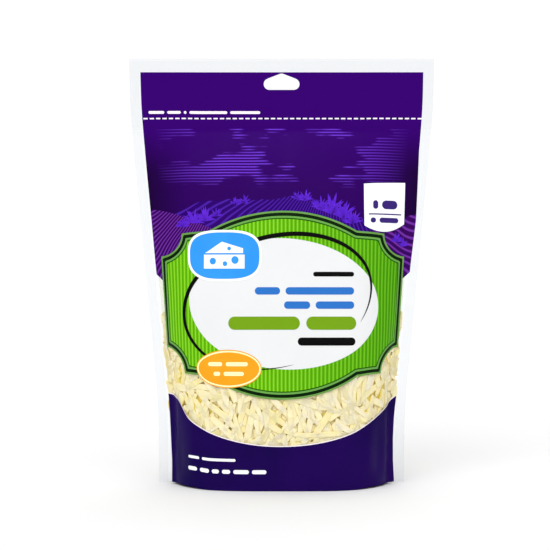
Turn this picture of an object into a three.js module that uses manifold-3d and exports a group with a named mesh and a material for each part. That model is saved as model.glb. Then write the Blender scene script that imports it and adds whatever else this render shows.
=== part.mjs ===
// A stand-up pouch of shredded cheese, filled, sealed and standing on its foot.
// Millimetres, +Z up. The front faces -Y. The origin is on the floor, under the middle.
//
// The pouch is one welded piece of film, full of shreds, so it is one solid:
// a front and a back panel that bulge over the contents, welded together in a flat
// band down each side and in a flat header at the top, and closed by a foot.

import * as THREE from 'three';
import { mergeVertices } from 'three/addons/utils/BufferGeometryUtils.js';
import { ParametricGeometry } from 'three/addons/geometries/ParametricGeometry.js';
import Module from 'manifold-3d';

// Outline seen from the front
const POUCH_HEIGHT = 269.5;
const TOP_HALF_WIDTH = 95.8;
const FOOT_HALF_WIDTH = 77.7;
const TAPER_START = 48;
const TAPER_END = 240;
const TAPER_ROUNDING = 1.5;

// Welds
const SIDE_WELD_WIDTH = 6.5;
const WELD_THICKNESS = 0.8;

// Beside each weld lies a nearly flat shoulder, one shred deep, before a panel swells
const SHOULDER_WIDTH = 4.3;
const SHOULDER_DEPTH = 2;

// Fullness, measured from the middle plane to the film at the middle of a panel
const FOOT_DEPTH = 30;
const CLOSED_HEIGHT = 224;
const FULLNESS_POWER = 2.2;
const FULLNESS_ROUNDING = 0.9;

// Outline of a panel cut across: square-shouldered at the foot, lens-like at the top
const FOOT_SECTION = { power: 4, rounding: 0.74 };
const TOP_SECTION = { power: 2.1, rounding: 1 };
const SECTION_CHANGE_START = 60;
const SECTION_CHANGE_END = 210;

// The ends of the foot are lifted off the floor where the gusset is folded
const FOOT_FLAT_HALF_LENGTH = 45;
const FOOT_LIFT_END = 57;
const FOOT_LIFT = 1.2;

// Hang hole: three round corners joined by straight sides
const HOLE_HALF_WIDTH = 11.3;
const HOLE_TOP = 260.3;
const HOLE_BOTTOM = 250;
const HOLE_TOP_RADIUS = 1.7;
const HOLE_SIDE_RADIUS = 3.6;
const HOLE_CUT_DEPTH = 8;
const HOLE_ARC_STEPS = 8;

// Facets
const PANEL_COLUMNS = 34;
const WELD_COLUMNS = 2;
const LAST_COLUMN = PANEL_COLUMNS + 2 * WELD_COLUMNS;
const WALL_ROWS = 46;

const POUCH_COLOUR = 0x37017a;

const wasm = await Module();
wasm.setup();

const { clamp, lerp, smoothstep } = THREE.MathUtils;

/** The larger of two lengths, with the corner between them rounded off. */
function softMax(a, b, rounding) {
  return (a + b + Math.hypot(a - b, rounding)) / 2;
}

/** Half the width of the pouch, welds included, at a height. */
function halfWidth(z) {
  const slope = (TOP_HALF_WIDTH - FOOT_HALF_WIDTH) / (TAPER_END - TAPER_START);
  const tapered = FOOT_HALF_WIDTH + slope * (z - TAPER_START);
  const widened = softMax(tapered, FOOT_HALF_WIDTH, TAPER_ROUNDING);
  return -softMax(-widened, -TOP_HALF_WIDTH, TAPER_ROUNDING);
}

/** How full the pouch is at a height: 1 at the foot, 0 where the panels lie together. */
function fullness(z) {
  const rise = clamp(z / CLOSED_HEIGHT, 0, 1);
  return (1 - rise ** FULLNESS_POWER) ** FULLNESS_ROUNDING;
}

/** How far the film has swelled, from 0 to 1, at t, which runs from -1 to 1 across a panel. */
function sectionProfile(t, z) {
  const change = smoothstep(z, SECTION_CHANGE_START, SECTION_CHANGE_END);
  const power = lerp(FOOT_SECTION.power, TOP_SECTION.power, change);
  const rounding = lerp(FOOT_SECTION.rounding, TOP_SECTION.rounding, change);
  return Math.max(0, 1 - Math.abs(t) ** power) ** rounding;
}

/** Height of the lower edge of the film at a distance x from the middle. */
function footEdge(x) {
  return FOOT_LIFT * smoothstep(Math.abs(x), FOOT_FLAT_HALF_LENGTH, FOOT_LIFT_END);
}

/**
 * Columns run from the left edge to the right one. The first two on each side are the
 * edges of the weld, and the rest cross the panel, closer together where it turns.
 */
function columnPoint(column, z) {
  const edge = halfWidth(z);
  const fromSide = Math.min(column, LAST_COLUMN - column);
  const side = column < LAST_COLUMN / 2 ? -1 : 1;
  if (fromSide < WELD_COLUMNS) {
    return { x: side * (edge - fromSide * SIDE_WELD_WIDTH), depth: WELD_THICKNESS / 2 };
  }
  const across = (2 * (column - WELD_COLUMNS)) / PANEL_COLUMNS - 1;
  const t = Math.sin((across * Math.PI) / 2);
  const shoulder = WELD_THICKNESS / 2 + SHOULDER_DEPTH * fullness(z);
  const swell = (FOOT_DEPTH - SHOULDER_DEPTH - WELD_THICKNESS / 2) * fullness(z);
  return {
    x: t * (edge - SIDE_WELD_WIDTH - SHOULDER_WIDTH),
    depth: shoulder + swell * sectionProfile(t, z),
  };
}

/**
 * The skin of the pouch. u runs once round it, across the front and back again behind.
 * v runs from the middle line of the foot, out to its edge, up the wall, and over the
 * top edge to the middle line there.
 */
function pouchSkin() {
  const columns = LAST_COLUMN + 1;
  const around = 2 * columns;
  const up = WALL_ROWS + 2;
  const skin = (u, v, target) => {
    const step = Math.round(u * around) % around;
    const row = Math.round(v * up);
    const inFront = step < columns;
    const column = inFront ? step : around - 1 - step;
    const rise = clamp((row - 1) / WALL_ROWS, 0, 1);
    const foot = footEdge(columnPoint(column, 0).x);
    const z = lerp(foot, POUCH_HEIGHT, rise);
    const { x, depth } = columnPoint(column, z);
    const onMiddleLine = row === 0 || row === up;
    const side = inFront ? -1 : 1;
    target.set(x, onMiddleLine ? 0 : side * depth, z);
  };
  return new ParametricGeometry(skin, around, up);
}

/** The prism that the hang hole takes out of the header. */
function hangHolePrism() {
  const lobeX = HOLE_HALF_WIDTH - HOLE_SIDE_RADIUS;
  const lobeZ = HOLE_BOTTOM + HOLE_SIDE_RADIUS;
  const apexZ = HOLE_TOP - HOLE_TOP_RADIUS;
  // A straight side touches both circles, so it slopes less than the line of their centres.
  const centreLine = Math.hypot(lobeX, apexZ - lobeZ);
  const centreSlope = Math.atan2(apexZ - lobeZ, lobeX);
  const slope = centreSlope - Math.asin((HOLE_SIDE_RADIUS - HOLE_TOP_RADIUS) / centreLine);
  const outline = new THREE.Shape();
  outline.absarc(lobeX, lobeZ, HOLE_SIDE_RADIUS, -Math.PI / 2, Math.PI / 2 - slope, false);
  outline.absarc(0, apexZ, HOLE_TOP_RADIUS, Math.PI / 2 - slope, Math.PI / 2 + slope, false);
  outline.absarc(-lobeX, lobeZ, HOLE_SIDE_RADIUS, Math.PI / 2 + slope, (3 * Math.PI) / 2, false);
  outline.closePath();
  const prism = new THREE.ExtrudeGeometry(outline, {
    depth: HOLE_CUT_DEPTH,
    bevelEnabled: false,
    curveSegments: HOLE_ARC_STEPS,
  });
  prism.rotateX(Math.PI / 2);
  prism.translate(0, HOLE_CUT_DEPTH / 2, 0);
  return prism;
}

/** A closed geometry as a solid, without the slivers where its edges close up. */
function toSolid(geometry) {
  const bare = geometry.clone();
  bare.deleteAttribute('normal');
  bare.deleteAttribute('uv');
  const merged = mergeVertices(bare);
  const corners = merged.index.array;
  const kept = [];
  for (let i = 0; i < corners.length; i += 3) {
    const [a, b, c] = corners.slice(i, i + 3);
    if (a !== b && b !== c && c !== a) kept.push(a, b, c);
  }
  const mesh = new wasm.Mesh({
    numProp: 3,
    vertProperties: new Float32Array(merged.attributes.position.array),
    triVerts: new Uint32Array(kept),
  });
  return new wasm.Manifold(mesh);
}

/** A solid as a geometry. */
function toGeometry(solid) {
  const mesh = solid.getMesh();
  const geometry = new THREE.BufferGeometry();
  geometry.setAttribute('position', new THREE.BufferAttribute(mesh.vertProperties, 3));
  geometry.setIndex(new THREE.BufferAttribute(mesh.triVerts, 1));
  geometry.computeVertexNormals();
  return geometry;
}

function cheesePouch() {
  const solid = toSolid(pouchSkin()).subtract(toSolid(hangHolePrism()));
  const film = new THREE.MeshStandardMaterial({
    color: POUCH_COLOUR,
    roughness: 0.3,
    metalness: 0,
  });
  const mesh = new THREE.Mesh(toGeometry(solid), film);
  mesh.name = 'cheese_pouch';
  return mesh;
}

const group = new THREE.Group();
group.add(cheesePouch());

export default group;
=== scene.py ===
"""A stand-up pouch of shredded mozzarella: clear film, printed fields of colour and loose strips of cheese.

Lengths are in millimetres until a mesh is written, which is in metres. A place on the film is given flat,
as it is on the empty pouch: u runs from one side edge to the other and v from the foot to the top.
"""

import logging
import math
from dataclasses import dataclass, field, replace
from enum import Enum
from functools import cached_property

import bpy
import numpy as np
from bpy.types import Material, Node, NodeSocket, NodeTree, Object
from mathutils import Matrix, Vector


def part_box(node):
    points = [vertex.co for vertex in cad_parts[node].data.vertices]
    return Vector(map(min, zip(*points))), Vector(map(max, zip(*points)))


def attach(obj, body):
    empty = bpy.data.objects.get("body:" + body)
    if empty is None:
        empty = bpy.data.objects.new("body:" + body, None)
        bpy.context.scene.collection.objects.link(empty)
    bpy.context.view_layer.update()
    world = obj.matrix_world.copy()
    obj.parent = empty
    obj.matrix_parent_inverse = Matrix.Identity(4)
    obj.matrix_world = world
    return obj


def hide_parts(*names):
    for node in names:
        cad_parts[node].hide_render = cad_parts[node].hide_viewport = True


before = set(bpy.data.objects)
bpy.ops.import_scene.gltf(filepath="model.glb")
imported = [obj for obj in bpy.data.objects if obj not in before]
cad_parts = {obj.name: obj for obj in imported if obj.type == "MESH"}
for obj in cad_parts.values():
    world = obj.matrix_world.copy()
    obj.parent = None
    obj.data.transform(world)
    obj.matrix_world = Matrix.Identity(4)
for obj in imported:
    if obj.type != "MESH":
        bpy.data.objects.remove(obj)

Array = np.ndarray
Pair = tuple[float, float]
Triple = tuple[float, float, float]
Floats = tuple[float, ...]
Feed = Node | NodeSocket
LOG = logging.getLogger("cheese_pouch")
MM = 0.001
BODY = "root"
NODE = "cheese_pouch"
IMAGE_SIDE = 550
COLLAR_SHARES = (0.34, 0.67, 1.0)
PILL_END_POINTS = 7
PILL_STEP = 1.5


class Side(Enum):
    """A broad side of the pouch, with the seed of its own creases."""

    FRONT = 11
    BACK = 23


class Slot(Enum):
    """A material slot of the record."""

    PRINT = "printed_film"
    CLEAR = "clear_film"
    CHEESE = "cheese"


# ---- numbers and curves


def smoothstep(x: Array, start: float, end: float) -> Array:
    """Rises from 0 at start to 1 at end along the cubic 3s^2 - 2s^3, and stays level outside."""
    share = np.clip((x - start) / (end - start), 0.0, 1.0)
    return share * share * (3.0 - 2.0 * share)


def soft_max(a: Array, b: Array, rounding: float) -> Array:
    """The larger of a and b, with the corner between them rounded as a hyperbola."""
    return (a + b + np.hypot(a - b, rounding)) / 2.0


def between(start: float, end: float, step: float) -> Array:
    """Even places from start to end, no further apart than step."""
    return np.linspace(start, end, max(2, int(math.ceil(abs(end - start) / step)) + 1))


def linear(colour: str) -> tuple[float, float, float, float]:
    """Turns an sRGB hex colour to linear red, green, blue and alpha.

    Args:
        colour: six hex digits after a number sign.

    Returns:
        The linear colour with alpha 1.
    """
    values = np.array([int(colour[i : i + 2], 16) / 255.0 for i in (1, 3, 5)])
    low = values / 12.92
    high = ((values + 0.055) / 1.055) ** 2.4
    return (*np.where(values <= 0.04045, low, high).tolist(), 1.0)


# ---- the pouch's form


@dataclass(frozen=True)
class FilmCreases:
    """How the filled pouch's film is dented, folded and buckled."""

    sides: Pair = (74.0, 87.0)
    above_foot: Pair = (1.0, 30.0)
    below_header: Pair = (190.0, 222.0)
    dent_lengths: Pair = (34.0, 80.0)
    dent_count: int = 8
    dent_flatness: float = 520.0
    folds: tuple[Triple, ...] = (
        (-63.0, 74.0, 0.8), (-76.0, 52.0, -0.6), (57.0, 66.0, 0.7), (69.0, 58.0, -0.7),
        (79.0, 60.0, 0.5), (-51.0, 46.0, -0.4), (46.0, 40.0, -0.3),
    )
    fold_wander: float = 2.0
    fold_lean: float = 0.05
    fold_breadth: float = 3.6
    fold_rise: Pair = (3.0, 14.0)
    fold_fade: float = 20.0
    buckle_level: float = 206.0
    buckle_reach: float = 11.0
    buckle_height: float = 0.22
    buckle_length: float = 23.0
    buckle_beat: float = 31.0

    def height(self, u: Array, v: Array, side: Side) -> Array:
        """How far the film stands proud of the smooth form: broad dents, upright folds and top buckles.

        The dents are a sum of seeded waves. Folds are bell-shaped ridges and valleys that stand up from the
        foot beside each corner and die away as they rise. Buckles are short upright waves where the flat
        header turns into the belly. All of them end before the welds, the header and the foot.

        Args:
            u: flat places across.
            v: flat places upwards.
            side: the broad side, which has creases of its own.

        Returns:
            The height of each place above the smooth form.
        """
        rng = np.random.default_rng(side.value)
        inside = 1.0 - smoothstep(np.abs(u), *self.sides)
        filled = smoothstep(v, *self.above_foot) * (1.0 - smoothstep(v, *self.below_header))
        dents = np.zeros(np.broadcast(u, v).shape)
        for length in np.linspace(*self.dent_lengths, self.dent_count):
            turn = rng.uniform(0.0, math.pi)
            phase = rng.uniform(0.0, 2.0 * math.pi)
            along = (u * math.cos(turn) + v * math.sin(turn)) * 2.0 * math.pi / length
            dents = dents + np.cos(along + phase) * length / self.dent_flatness
        folds = np.zeros_like(dents)
        for place, end, height in self.folds:
            line = place + rng.uniform(-self.fold_wander, self.fold_wander) + self.fold_lean * v
            bell = np.exp(-0.5 * ((u - line) / self.fold_breadth) ** 2)
            folds = folds + (height * bell * smoothstep(v, *self.fold_rise)
                             * (1.0 - smoothstep(v, self.fold_fade, end)))
        reach = np.exp(-0.5 * ((v - self.buckle_level) / self.buckle_reach) ** 2)
        phase = rng.uniform(0.0, 2.0 * math.pi)
        waves = np.cos(u * 2.0 * math.pi / self.buckle_length + phase) * np.cos(u / self.buckle_beat)
        return inside * (filled * dents + folds + self.buckle_height * reach * waves)


@dataclass(frozen=True)
class PouchForm:
    """The filled pouch's outer surface, as a function of the flat place (u, v) on its film."""

    height: float = 269.5
    top_half_width: float = 95.8
    foot_depth: float = 30.0
    foot_half_width: float = 77.7
    taper_start: float = 48.0
    taper_end: float = 240.0
    taper_rounding: float = 1.5
    weld_width: float = 6.5
    weld_depth: float = 0.15
    shoulder_width: float = 4.3
    shoulder_depth: float = 2.25
    closed_height: float = 224.0
    fullness_power: float = 2.2
    fullness_rounding: float = 0.9
    foot_power: float = 4.0
    foot_rounding: float = 0.74
    top_power: float = 2.1
    top_rounding: float = 1.0
    section_change_start: float = 60.0
    section_change_end: float = 210.0
    foot_flat: float = 45.0
    foot_lift_end: float = 57.0
    foot_lift: float = 1.2
    crease_radius: float = 1.5
    turn_start: float = 80.0
    corner_ease: float = 0.19
    dip_fade: float = 205.0
    normal_step: float = 0.25
    panel_samples: int = 500
    shoulder_samples: int = 40
    stations: int = 601
    creases: FilmCreases = FilmCreases()

    @classmethod
    def from_frame(cls) -> "PouchForm":
        """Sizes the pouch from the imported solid's box, past which its eased corners would run on a little."""
        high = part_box(NODE)[1] / MM
        return cls(height=high.z, top_half_width=high.x + cls.corner_ease, foot_depth=high.y)

    @property
    def weld_start(self) -> float:
        """The flat place u where the side weld begins."""
        return self.top_half_width - self.weld_width

    def across(self, left: float, right: float, wide_step: float = 1.4, fine_step: float = 0.5) -> Array:
        """Places u, closer together outside turn_start, where the film turns into the welds.

        Args:
            left: the first place.
            right: the last place.
            wide_step: the greatest step on the panel.
            fine_step: the greatest step near the welds.

        Returns:
            The places from left to right.
        """
        return np.concatenate([between(left, -self.turn_start, fine_step)[:-1],
                               between(-self.turn_start, self.turn_start, wide_step),
                               between(self.turn_start, right, fine_step)[1:]])

    def half_width(self, z: Array) -> Array:
        """Half the width: upright at the foot and the top, an even taper between, corners eased.

        Args:
            z: heights.

        Returns:
            Half the pouch's width at each height.
        """
        slope = (self.top_half_width - self.foot_half_width) / (self.taper_end - self.taper_start)
        tapered = self.foot_half_width + slope * (z - self.taper_start)
        widened = soft_max(tapered, self.foot_half_width, self.taper_rounding)
        return -soft_max(-widened, -self.top_half_width, self.taper_rounding)

    def fullness(self, z: Array) -> Array:
        """How far the filling parts the films: 1 at the foot, falling as a rounded power of height to 0."""
        rise = np.clip(z / self.closed_height, 0.0, 1.0)
        return (1.0 - rise**self.fullness_power) ** self.fullness_rounding

    @cached_property
    def sections(self) -> tuple[Array, Array]:
        """Half sections at each millimetre of height, as x and depth at even shares of the film's width.

        Across the panel the depth swells as (1 - t^power)^rounding, the shoulder slopes down to the side
        weld, and the weld is flat. Each section is walked by arc length, and its creases are then rounded
        with a bell of the film's bending radius.

        Returns:
            Two tables, x and depth, with a row for each millimetre of height.
        """
        z = np.arange(0.0, self.height + 1.0)[:, None]
        change = smoothstep(z, self.section_change_start, self.section_change_end)
        power = self.foot_power + (self.top_power - self.foot_power) * change
        rounding = self.foot_rounding + (self.top_rounding - self.foot_rounding) * change
        edge = self.half_width(z)
        full = self.fullness(z)
        shoulder = self.weld_depth + self.shoulder_depth * full
        swell = (self.foot_depth - self.shoulder_depth - self.weld_depth) * full
        t = np.sin(np.linspace(0.0, math.pi / 2.0, self.panel_samples))[None, :]
        panel = edge - self.weld_width - self.shoulder_width
        panel_depth = shoulder + swell * (1.0 - t**power) ** rounding
        step = np.linspace(0.0, 1.0, self.shoulder_samples)[None, 1:]
        shoulder_x = panel + self.shoulder_width * step
        weld_x = edge - self.weld_width * (1.0 - step)
        shoulder_depth = shoulder + (self.weld_depth - shoulder) * step
        weld_depth = np.full_like(step, self.weld_depth) + 0.0 * z
        x = np.concatenate([t * panel, shoulder_x, weld_x], axis=1)
        depth = np.concatenate([panel_depth, shoulder_depth, weld_depth], axis=1)
        walked = np.cumsum(np.hypot(np.diff(x), np.diff(depth)), axis=1)
        walked = np.concatenate([0.0 * z, walked], axis=1) / walked[:, -1:]
        even = np.linspace(0.0, 1.0, self.stations)
        rows = [(np.interp(even, w, a), np.interp(even, w, d)) for w, a, d in zip(walked, x, depth)]
        x_table = np.array([row[0] for row in rows])
        depth_table = np.array([row[1] for row in rows])
        return self._rounded(x_table, -1.0), self._rounded(depth_table, 1.0)

    def _rounded(self, table: Array, mirror: float) -> Array:
        """Rounds creases along each row with a bell of the bending radius.

        Args:
            table: a value at each even share of the film, from the middle line to the edge.
            mirror: 1 for a value that is the same across the middle line, and -1 for one that turns over.

        Returns:
            The table of the same shape with its creases rounded.
        """
        spread = self.crease_radius * (self.stations - 1) / self.top_half_width
        reach = int(3 * spread)
        bell = np.exp(-0.5 * (np.arange(-reach, reach + 1) / spread) ** 2)
        bell /= bell.sum()
        inner = mirror * table[:, reach:0:-1]
        outer = 2.0 * table[:, -1:] - table[:, -2 : -2 - reach : -1]
        padded = np.concatenate([inner, table, outer], axis=1)
        return sum(weight * padded[:, i : i + self.stations] for i, weight in enumerate(bell))

    def _section(self, share: Array, z: Array) -> tuple[Array, Array]:
        """Reads x and depth from the section tables, blending the four nearest stations.

        Args:
            share: places across as shares of the film's half width.
            z: heights.

        Returns:
            The x and the depth of each place.
        """
        row = np.clip(z, 0.0, self.height - 0.001)
        column = np.clip(np.abs(share), 0.0, 1.0) * (self.stations - 1)
        i = row.astype(int)
        j = np.minimum(column.astype(int), self.stations - 2)
        a = row - i
        b = column - j
        blended = []
        for table in self.sections:
            low = table[i, j] * (1.0 - b) + table[i, j + 1] * b
            high = table[i + 1, j] * (1.0 - b) + table[i + 1, j + 1] * b
            blended.append(low * (1.0 - a) + high * a)
        return np.sign(share) * blended[0], blended[1]

    def bare(self, u: Array, v: Array) -> Array:
        """The smooth film's place: x, depth and z. Level lines dip towards the leaning side edges.

        Args:
            u: flat places across.
            v: flat places upwards.

        Returns:
            An array with x, depth and z along its last axis.
        """
        share = u / self.top_half_width
        lean = (self.half_width(v + 1.0) - self.half_width(v - 1.0)) / 2.0
        dip = lean * self.top_half_width * np.abs(share) ** 3 / 3.0
        z = v - dip * (1.0 - smoothstep(v, self.dip_fade, self.taper_end))
        foot_x = self._section(share, 0.0 * z)[0]
        lift = self.foot_lift * smoothstep(np.abs(foot_x), self.foot_flat, self.foot_lift_end)
        z = z + lift * (1.0 - v / self.height)
        x, depth = self._section(share, z)
        return np.stack([x, depth, z], axis=-1)

    def surface(self, u: Array, v: Array, side: Side, lift: float | Array = 0.0) -> Array:
        """The place in space of a flat place on one side, raised by lift along the outward normal.

        Args:
            u: flat places across the film, from left to right as that side is looked at.
            v: flat places upwards.
            side: the broad side.
            lift: how far outside the film, or inside it where negative.

        Returns:
            An array of x, y, z along its last axis.
        """
        u, v = np.broadcast_arrays(np.asarray(u, float), np.asarray(v, float))
        normal = self._smooth_normal(u, v)
        crease = self.creases.height(u, v, side)
        place = self.bare(u, v) * [1.0, -1.0, 1.0]
        place = place + normal * (crease + lift)[..., None]
        turn = [1.0, 1.0, 1.0] if side is Side.FRONT else [-1.0, -1.0, 1.0]
        return place * turn

    def _smooth_normal(self, u: Array, v: Array) -> Array:
        """The smooth front's outward normal, from places a small step to each side.

        Args:
            u: flat places across.
            v: flat places upwards.

        Returns:
            An array of unit normals.
        """
        step = self.normal_step
        flip = [1.0, -1.0, 1.0]
        edge = self.top_half_width
        across = self.bare(np.minimum(u + step, edge), v) - self.bare(np.maximum(u - step, -edge), v)
        up = self.bare(u, np.minimum(v + step, self.height)) - self.bare(u, np.maximum(v - step, 0.0))
        normal = np.cross(across * flip, up * flip)
        return normal / np.maximum(np.linalg.norm(normal, axis=-1, keepdims=True), 1e-9)

    def room(self, u: Array, v: Array) -> Array:
        """How far it is from the film to the pouch's middle plane."""
        return self.bare(u, v)[..., 1]


# ---- flat patches and meshes


def grid_faces(rows: int, columns: int, closed: bool = False, start: int = 0) -> Array:
    """Four-sided faces of a grid whose points run along each row in turn.

    Args:
        rows: number of rows of points.
        columns: number of points in a row.
        closed: whether each row joins up with its own start.
        start: the number of the grid's first point.

    Returns:
        An array with four point numbers for each face, counter-clockwise for u right and v up.
    """
    i = np.arange(columns if closed else columns - 1)
    j = np.arange(rows - 1)[:, None]
    low = j * columns
    here = low + i
    right = low + (i + 1) % columns
    faces = np.stack([here, right, right + columns, here + columns], axis=-1)
    return faces.reshape(-1, 4) + start


@dataclass
class Patch:
    """A flat field of ink: its points as (u, v), its faces, and the finish number of each face."""

    flat: Array
    faces: list[Array]
    zones: list[Array] = field(default_factory=list)

    def __post_init__(self) -> None:
        """Gives every face the first finish unless zones are stated."""
        if not self.zones:
            self.zones = [np.zeros(len(f), int) for f in self.faces]

    @classmethod
    def grid(cls, u: Array, v: Array) -> "Patch":
        """A field from two tables, rows upwards and columns to the right.

        Args:
            u: places across.
            v: places upwards, in a table that matches.

        Returns:
            The patch.
        """
        u, v = np.broadcast_arrays(u, v)
        flat = np.stack([u.ravel(), v.ravel()], axis=1)
        return cls(flat, [grid_faces(*u.shape)])

    @classmethod
    def strip(cls, u: Array, low: Array, high: Array, step: float = 1.5) -> "Patch":
        """The field between two curves.

        Args:
            u: the curves' places across.
            low: the lower curve's heights.
            high: the upper curve's heights.
            step: the greatest distance from row to row.

        Returns:
            The patch.
        """
        tall = float(np.max(np.abs(high - low)))
        share = between(0.0, tall, step)[:, None] / tall
        return cls.grid(np.broadcast_to(u, (len(share), len(u))), low + (high - low) * share)

    @classmethod
    def rings(cls, loops: list[Array], zones: list[int]) -> "Patch":
        """Fields between nested loops, from the outermost in, closed at the middle by a fan.

        Args:
            loops: closed loops of (u, v) with the same number of points, counter-clockwise.
            zones: the finish number of each field between two loops, and of the fan.

        Returns:
            The patch.
        """
        count = len(loops[0])
        middle = loops[-1].mean(axis=0, keepdims=True)
        flat = np.concatenate([*loops[::-1], middle])
        quads = grid_faces(len(loops), count, closed=True)
        quads = quads.reshape(len(loops) - 1, count, 4)[..., ::-1].reshape(-1, 4)
        quad_zones = np.repeat(np.array(zones[:-1][::-1], int), count)
        i = np.arange(count)
        fan = np.stack([i, (i + 1) % count, np.full(count, len(flat) - 1)], axis=1)
        return cls(flat, [quads, fan], [quad_zones, np.full(count, zones[-1])])

    @classmethod
    def disc(cls, outline: Array, step: float = 2.0) -> "Patch":
        """A field of one finish inside an outline.

        Args:
            outline: a closed loop that its middle sees all round.
            step: the greatest distance from ring to ring.

        Returns:
            The patch.
        """
        middle = (outline.max(axis=0) + outline.min(axis=0)) / 2.0
        reach = float(np.max(np.linalg.norm(outline - middle, axis=1)))
        shares = between(1.0, 0.0, step / reach)[:-1]
        loops = [middle + (outline - middle) * share for share in shares]
        return cls.rings(loops, [0] * len(loops))

    @classmethod
    def pill(cls, left: float, right: float, low: float, high: float, corner: float | None = None) -> "Patch":
        """A bar with rounded ends: at each place across, half its height follows the ends' circles.

        Args:
            left: the left end.
            right: the right end.
            low: the lower edge.
            high: the upper edge.
            corner: the corners' radius, or half the bar's height where none is given.

        Returns:
            The patch.
        """
        half = (high - low) / 2.0
        radius = min(half if corner is None else corner, half, (right - left) / 2.0)
        turn = np.linspace(0.0, math.pi / 2.0, PILL_END_POINTS)
        ends = radius * (1.0 - np.cos(turn))
        straight = right - left > 2.0 * radius + 0.01
        middle = between(left + radius, right - radius, PILL_STEP)[1:-1] if straight else []
        u = np.concatenate([left + ends, middle, right - ends[::-1]])
        inner = np.minimum(np.minimum(u - left, right - u), radius)
        tall = half - radius + np.sqrt(np.maximum(radius**2 - (radius - inner) ** 2, 1e-6))
        centre = (low + high) / 2.0
        return cls.strip(u, centre - tall, centre + tall)

    @classmethod
    def joined(cls, patches: list["Patch"]) -> "Patch":
        """Several fields as one.

        Args:
            patches: the fields.

        Returns:
            The patch that holds them all.
        """
        faces, zones = [], []
        start = 0
        for patch in patches:
            faces += [f + start for f in patch.faces]
            zones += patch.zones
            start += len(patch.flat)
        return cls(np.concatenate([patch.flat for patch in patches]), faces, zones)

    def pierced(self, outline: Array, clear: float) -> "Patch":
        """Cuts a hole: faces near it go, and a collar of rings joins the gap's edge to the hole's outline.

        Args:
            outline: the hole's outline as (u, v), counter-clockwise, which its middle sees all round.
            clear: how far from the hole the faces are kept.

        Returns:
            The patch with its hole.
        """
        middle = (outline.max(axis=0) + outline.min(axis=0)) / 2.0
        low = outline.min(axis=0) - clear
        high = outline.max(axis=0) + clear
        quads = self.faces[0]
        places = self.flat[quads].mean(axis=1)
        gone = np.all((places > low) & (places < high), axis=1)
        edges = np.concatenate([quads[gone][:, [k, (k + 1) % 4]] for k in range(4)])
        key = edges[:, 0] * len(self.flat) + edges[:, 1]
        back = edges[:, 1] * len(self.flat) + edges[:, 0]
        rim = edges[~np.isin(key, back)]
        after = dict(rim.tolist())
        loop = [int(rim[0, 0])]
        while after[loop[-1]] != loop[0]:
            loop.append(after[loop[-1]])
        loop = np.array(loop)
        outer = self.flat[loop]
        angle = np.arctan2(*(outer - middle).T[::-1])
        ring = outline - middle
        ring_angle = np.arctan2(ring[:, 1], ring[:, 0])
        order = np.argsort(ring_angle)
        ring_radius = np.linalg.norm(ring, axis=1)
        radius = np.interp(angle, ring_angle[order], ring_radius[order], period=2.0 * math.pi)
        inner = middle + radius[:, None] * np.stack([np.cos(angle), np.sin(angle)], axis=1)
        count = len(loop)
        start = len(self.flat)
        loops = [outer + (inner - outer) * share for share in COLLAR_SHARES]
        numbers = np.stack([loop, *[start + k * count + np.arange(count) for k in range(len(loops))]])
        here = numbers[:-1]
        inwards = numbers[1:]
        corners = [here, np.roll(here, -1, 1), np.roll(inwards, -1, 1), inwards]
        collar = np.stack(corners, axis=-1).reshape(-1, 4)
        kept = quads[~gone]
        zone = int(self.zones[0][0])
        return Patch(np.concatenate([self.flat, *loops]), [kept, collar, *self.faces[1:]],
                     [self.zones[0][~gone], np.full(len(collar), zone), *self.zones[1:]])


@dataclass(frozen=True)
class Ellipse:
    """A closed outline |u/a|^power + |v/b|^power = 1 with a tilt: an ellipse at power 2, squarer above it."""

    centre: Pair
    half: Pair
    tilt_degrees: float = 0.0
    power: float = 2.0

    def at(self, turn: Array, widened: Array | float = 0.0) -> Array:
        """Places on the outline.

        Args:
            turn: how far round, in radians, counter-clockwise from the right end.
            widened: how far outside the outline, measured along the half axes.

        Returns:
            An array with u and v along its last axis.
        """
        share = 2.0 / self.power
        x = (self.half[0] + widened) * np.sign(np.cos(turn)) * np.abs(np.cos(turn)) ** share
        y = (self.half[1] + widened) * np.sign(np.sin(turn)) * np.abs(np.sin(turn)) ** share
        tilt = math.radians(self.tilt_degrees)
        u = self.centre[0] + x * math.cos(tilt) - y * math.sin(tilt)
        v = self.centre[1] + x * math.sin(tilt) + y * math.cos(tilt)
        return np.stack([u, v], axis=-1)

    def outline(self, count: int = 120, widened: float = 0.0) -> Array:
        """The whole outline as a closed loop, or one that lies further out or in."""
        return self.at(np.linspace(0.0, 2.0 * math.pi, count, endpoint=False), widened)


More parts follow.
